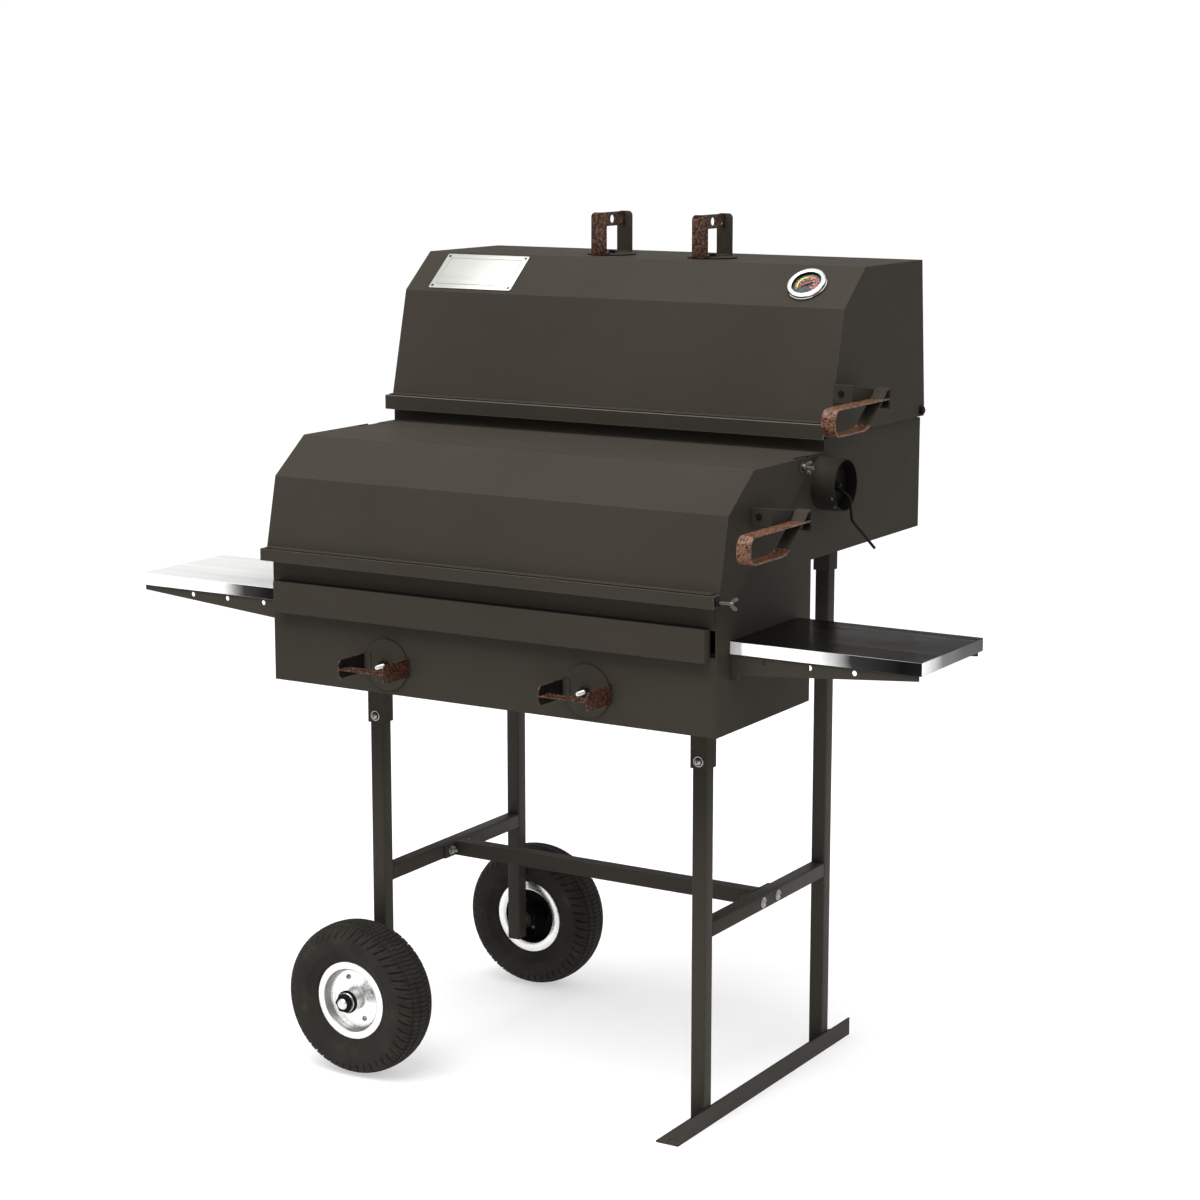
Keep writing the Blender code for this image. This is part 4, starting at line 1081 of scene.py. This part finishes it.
def stretcher_bolts():
    """Two bolts through each end flange of the long tie, with heads outside and nuts inside."""
    heads = []
    nuts = []
    middle = centre_of("stretcher")
    for side, hand in ((-1, "left"), (1, "right")):
        low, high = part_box("cross_bar_" + hand)
        axis = X_AXIS * side
        outer = high.x if side > 0 else -low.x
        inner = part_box("stretcher")[1].x - 0.003
        for shift in (-0.0255, 0.0255):
            place = Vector((side * outer, middle.y + shift, middle.z))
            heads.append(washer(place, axis, 0.009, 0.0013))
            heads.append(button_head(place + axis * 0.0013, axis, 0.0068, 0.004))
            place = Vector((side * inner, middle.y + shift, middle.z))
            nuts.append(washer(place, -axis, 0.0085, 0.0013))
            nuts.append(hex_head(place - axis * 0.0013, -axis, 0.0068, 0.0055, 0.2))
            nuts.append(threaded_end(place - axis * 0.006, -axis, 0.0029, 0.006, 0.001))
    add_piece("stretcher_heads", heads, "dull", "smoker")
    add_piece("stretcher_nuts", nuts, "dull", "smoker", bevel=0.0002)


def leg_end_plugs():
    """Plastic plugs in the open lower ends of the two left legs."""
    half = 0.0118
    plugs = []
    for node in ("leg_front_left", "leg_rear_left"):
        middle = centre_of(node)
        matrix = Matrix.Translation((middle.x, middle.y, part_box(node)[0].z - 0.0008))
        plugs.append(plate(rounded(rectangle(-half, -half, half, half), 0.003), [], 0.0026, matrix, 0.0008))
    add_piece("leg_end_plugs", plugs, "black", "smoker")


# Wheels

def smooth(value, low, high):
    share = min(max((value - low) / (high - low), 0.0), 1.0)
    return share * share * (3 - 2 * share)


def groove(distance, half, soft):
    """Depth share of a groove at a distance from its middle line."""
    return 1 - smooth(abs(distance), half, half + soft)


def tread_cut(turn, across):
    """Share of the tread's depth to cut at an angle (radians) and a place across (-1 to 1)."""
    shoulder = 0.42
    reach = abs(across)
    turns = turn * SIPES / (2 * math.pi) + (0.5 if across < 0 else 0.0)
    zigzag = 0.035 * abs(2 * ((2 * turns) % 1.0) - 1)
    deep = max(groove(reach - 0.13 - zigzag, 0.012, 0.022), groove(reach - 0.4 - zigzag, 0.014, 0.024))
    if reach > shoulder:
        curve = 1.5 * (reach - shoulder) ** 1.6
        wide = 0.035 + 0.045 * smooth(reach, 0.5, 0.9)
        phase = (turns + curve) % 1.0 - 0.5
        deep = max(deep, groove(phase, wide, 0.05) * (1 - smooth(reach, 0.96, 1.0)))
        phase = (turns + curve + 0.5) % 1.0 - 0.5
        return max(deep, 0.55 * groove(phase, 0.018, 0.045) * (1 - smooth(reach, 0.62, 0.72)))
    phase = (2 * turns + 1.2 * reach) % 1.0 - 0.5
    return max(deep, 0.7 * groove(phase, 0.05, 0.09))


def tyre(name, centre, body, node):
    """A pneumatic tyre: a squared-off section with a cut tread, sidewall rings and beads."""
    low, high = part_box(node)
    crown = (high.z - low.z) / 2
    half_width = (high.y - low.y) / 2
    bead_radius = 0.0667
    core = (crown + bead_radius) / 2 + 0.0005
    rise = crown - core
    power = 2 / 2.35
    around = SIPES * 18
    limit = 128
    steps = 76
    side_ring = (110, 116)
    seat = mm((33.8, 73.5), (32.2, 70), (30.6, 67.2), (28, 66.9))
    seat += [(-y, radius) for y, radius in reversed(seat)]
    bm = bmesh.new()
    rings = []
    for index in range(around):
        turn = 2 * math.pi * index / around
        places = []
        for step in range(steps + 1):
            degrees = -limit + 2 * limit * step / steps
            sine = math.sin(math.radians(degrees))
            cosine = math.cos(math.radians(degrees))
            y = half_width * math.copysign(abs(sine) ** power, sine)
            radius = core + rise * math.copysign(abs(cosine) ** power, cosine)
            cut = 0.0
            if abs(degrees) < TREAD_EDGE:
                cut = TREAD_DEPTH * tread_cut(turn, degrees / TREAD_EDGE)
            if side_ring[0] < abs(degrees) < side_ring[1]:
                cut = -0.0006
            places.append((y - sine * cut, min(radius - cosine * cut, crown)))
        rings.append([bm.verts.new(centre + Vector((radius * math.sin(turn), y, radius * math.cos(turn))))
                      for y, radius in places + seat])
    bridge(bm, rings, True)
    add_piece(name, to_mesh(bm), "rubber", body, [node], sharp=80)


def rim(name, centre, body, node, outward):
    """A pressed two-part rim with a deep dish, its clamping bolts, valve and hub seals."""
    axis = Y_AXIS * outward
    matrix = frame_matrix(centre, X_AXIS, axis)
    section = mm(
        (10.8, 39.8), (16, 39.8), (16.8, 39), (17, 28), (17.6, 17.5), (19, 13), (22.5, 11.8), (45, 11.6),
        (48.5, 12.6), (50.5, 15.6), (51.5, 22.5), (52.4, 27.5), (54.5, 29.4), (64, 29.7), (66, 29.2),
        (66.6, 27.8), (66, 26.4), (60, 25.8), (56.5, 24), (55.2, 18), (54.8, 0), (55.2, -18),
        (56.5, -24), (60, -25.8), (66, -26.4), (66.6, -27.8), (66, -29.2), (64, -29.7), (52.8, -29.4),
        (50.6, -28.2), (49.8, -23.5), (49.6, 0), (49, 8), (47, 10), (27, 10.2), (20, 6), (17.2, -5),
        (16.8, -39), (16, -39.8), (10.8, -39.8))
    shell = add_piece(name + "_shell", lathe(section, matrix, 96), "rim", body, [node], sharp=40)
    local = matrix.inverted()

    def in_well(place, normal):
        point = local @ place
        return point.z < 0.0105 and point.xy.length < 0.0505

    def on_step(place, normal):
        point = local @ place
        return 0.013 < point.z < 0.029 and 0.0495 < point.xy.length < 0.055

    # The inside of the well is black: painted shade in the deep dish.
    second_look(shell, "black", in_well)
    second_look(shell, "dull", on_step)
    bolts = []
    for face, level in ((1, 0.0122), (-1, 0.01)):
        for index in range(4):
            angle = 2 * math.pi * (index + 0.28) / 4
            origin = matrix @ Vector((0.0372 * math.cos(angle), 0.0372 * math.sin(angle), level))
            bolts.append(button_head(origin, axis * face, 0.0042, 0.0026))
    add_piece(name + "_bolts", bolts, "dull", body)
    start = matrix @ Vector((0.033, 0.033, 0.01))
    end = start - axis * 0.024 + matrix.to_3x3() @ Vector((0.005, 0.005, 0))
    stem = rod([start, (start + end) / 2 - axis * 0.002, end], 0.003, 14)
    cap = lathe(mm((0, 0), (4, 0), (4.2, 7), (3, 9), (0, 9)), frame_matrix(end, X_AXIS, end - start), 18)
    add_piece(name + "_valve", [stem, cap], "rubber", body)
    seal = mm((11.2, 36), (11.2, 40.2), (18, 40.2), (19.2, 39.2), (19.2, 36))
    seals = [lathe(seal, frame_matrix(centre, X_AXIS, axis * face), 48) for face in (1, -1)]
    add_piece(name + "_seals", seals, "black", body)


def axle(name, centre, node, outward):
    """The stub axle: shaft, threaded end, washers, lock nut and the boss welded to the leg."""
    low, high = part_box(node)
    axis = Y_AXIS * outward
    tip = low.y if outward < 0 else high.y
    root = (high.y if outward < 0 else low.y) * outward
    hub = centre.y + outward * 0.0405
    shoulder = hub * outward + 0.0085
    across = frame_matrix((centre.x, 0, centre.z), X_AXIS, axis)

    def past_hub(distance):
        return Vector((centre.x, hub, centre.z)) + axis * distance

    shaft = [(0, root), (0.01, root), (0.01, shoulder), (0.0096, shoulder + 0.0005),
             (0, shoulder + 0.0005)]
    meshes = [lathe(shaft, across, 48),
              threaded_end(past_hub(0.0086), axis, 0.0098, abs(tip - hub) - 0.0088, 0.0016),
              washer(past_hub(0), axis, 0.0165, 0.0018, 0.01),
              washer(past_hub(0.002), axis, 0.0168, 0.0012, 0.01)]
    add_piece(name + "_shaft", meshes, "zinc", "smoker", [node])
    collar = mm((9.8, 0), (11.8, 0), (11.8, 1.4), (11, 2), (9.8, 2))
    nut = [hex_head(past_hub(0.0034), axis, 0.0162, 0.0072, 0.25),
           lathe(collar, frame_matrix(past_hub(0.0104), X_AXIS, axis), 40)]
    add_piece(name + "_nut", nut, "black", "smoker", bevel=0.0003)
    boss = [(0.01, root), (0.016, root), (0.016, root + 0.002), (0.0138, root + 0.0045),
            (0.0108, root + 0.006), (0.01, root + 0.006)]
    add_piece(name + "_boss", lathe(boss, across, 48), "cart", "smoker")


def wheels():
    for row, outward in (("front", -1), ("rear", 1)):
        centre = Vector(JOINTS[row + "_wheel_spin"]["pos_m"])
        body = row + "_wheel"
        tyre(row + "_tyre_tread", centre, body, row + "_wheel_tyre")
        rim(row + "_rim", centre, body, row + "_wheel_rim", outward)
        axle(row + "_axle", centre, row + "_wheel_axle", outward)


# Shelves

def shelf(hand, side):
    """A folded tray on two tapered brackets, with the bolts that hold the brackets."""
    tray = dress("shelf_" + hand, "shelf_top", BEND, 3)
    # The front and end faces take their own painted reflections.
    second_look(tray, "shelf_front", lambda centre, normal: abs(normal.y) > 0.7)
    second_look(tray, "shelf_end", lambda centre, normal: abs(normal.x) > 0.7)
    axis = X_AXIS * side
    bolts = []
    for row, shift in (("front", 0.001), ("rear", -0.001)):
        node = f"shelf_bracket_{hand}_{row}"
        dress(node, "cart")
        low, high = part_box(node)
        wall = (low.x if side > 0 else high.x) + side * 0.0025
        for z in (low.z + 0.01, low.z + 0.029):
            origin = Vector((wall, (low.y + high.y) / 2 + shift, z))
            bolts.append(washer(origin, axis, 0.0062, 0.001))
            bolts.append(hex_head(origin + axis * 0.001, axis, 0.005, 0.0036, 0.3))
    add_piece(f"shelf_bolts_{hand}", bolts, "black", "smoker", bevel=0.0002)


def shelves():
    shelf("left", -1)
    shelf("right", 1)


# Stage

def backdrop():
    """A pale floor that sweeps up into a low wall all round."""
    sweep = [(0, 0), (3.0, 0), (7.0, 0), (8.2, 0.05), (9.2, 0.28), (9.9, 0.75), (10.3, 1.5), (10.5, 2.3)]
    bm = bmesh.new()
    bridge(bm, [[bm.verts.new((radius * x, radius * y, z)) for radius, z in sweep]
                for x, y in circle((0, 0), 1, 96)][::-1], True, False)
    bmesh.ops.remove_doubles(bm, verts=bm.verts, dist=0.00001)
    mesh = bpy.data.meshes.new("backdrop")
    bm.to_mesh(mesh)
    bm.free()
    mesh.shade_smooth()
    holder = bpy.data.objects.new("backdrop", mesh)
    bpy.context.scene.collection.objects.link(holder)
    made, shader, place = new_material("pale_floor")
    stops = [(0.3, (0.54, 0.54, 0.54)), (0.7, (0.56, 0.56, 0.56))]
    feed(shader, Base_Color=ramp(noise(place, 2.0, 3.0), stops), Roughness=0.8, Specular_IOR_Level=0.1,
         Emission_Color=(1, 1, 1, 1), Emission_Strength=0.5)
    mesh.materials.append(made)


def studio():
    """White surroundings with a darker band above the backdrop, and three large soft lights."""
    scene = bpy.context.scene
    world = bpy.data.worlds.new("studio")
    world.use_nodes = True
    nodes = world.node_tree.nodes
    ways = nodes.new("ShaderNodeTexCoord").outputs["Generated"]
    height = spread(fresh(ways, "SeparateXYZ", Vector=ways).outputs["Z"], 0.0, 1.0, 0.0, 1.0)
    tones = ((0.09, 0.7), (0.13, 0.04), (0.32, 0.07), (0.5, 1.1), (0.78, 1.0), (1.0, 0.55))
    feed(nodes["Background"], Color=ramp(height, [(at, (tone, tone, tone)) for at, tone in tones]),
         Strength=0.98)
    scene.world = world
    for name, place, size, power in (("key", (-3.2, -4.6, 4.6), 6.0, 8), ("top", (0.0, -1.6, 5.2), 4.4, 385),
                                     ("rim", (3.6, 3.2, 3.4), 3.0, 12)):
        lamp = bpy.data.lights.new(name, "AREA")
        lamp.shape = "SQUARE"
        lamp.size = size
        lamp.energy = power
        holder = bpy.data.objects.new(name, lamp)
        holder.location = place
        aim = Vector((0, 0, 0.85)) - Vector(place)
        holder.rotation_euler = aim.to_track_quat("-Z", "Y").to_euler()
        scene.collection.objects.link(holder)
    scene.view_settings.view_transform = "Standard"


def camera():
    made = bpy.data.objects.new("camera", bpy.data.cameras.new("camera"))
    made.data.lens = LENS
    made.data.sensor_width = 36.0
    made.data.clip_end = 100.0
    made.location = CAMERA_PLACE
    made.rotation_euler = Vector(CAMERA_LOOK).to_track_quat("-Z", "Y").to_euler()
    bpy.context.scene.collection.objects.link(made)
    bpy.context.scene.camera = made


for build in (camera, backdrop, studio, chambers, lids, hinges, lip_wing_screw, thermometer, name_plate,
              dampers, side_pipe, cart, wheels, shelves):
    build()
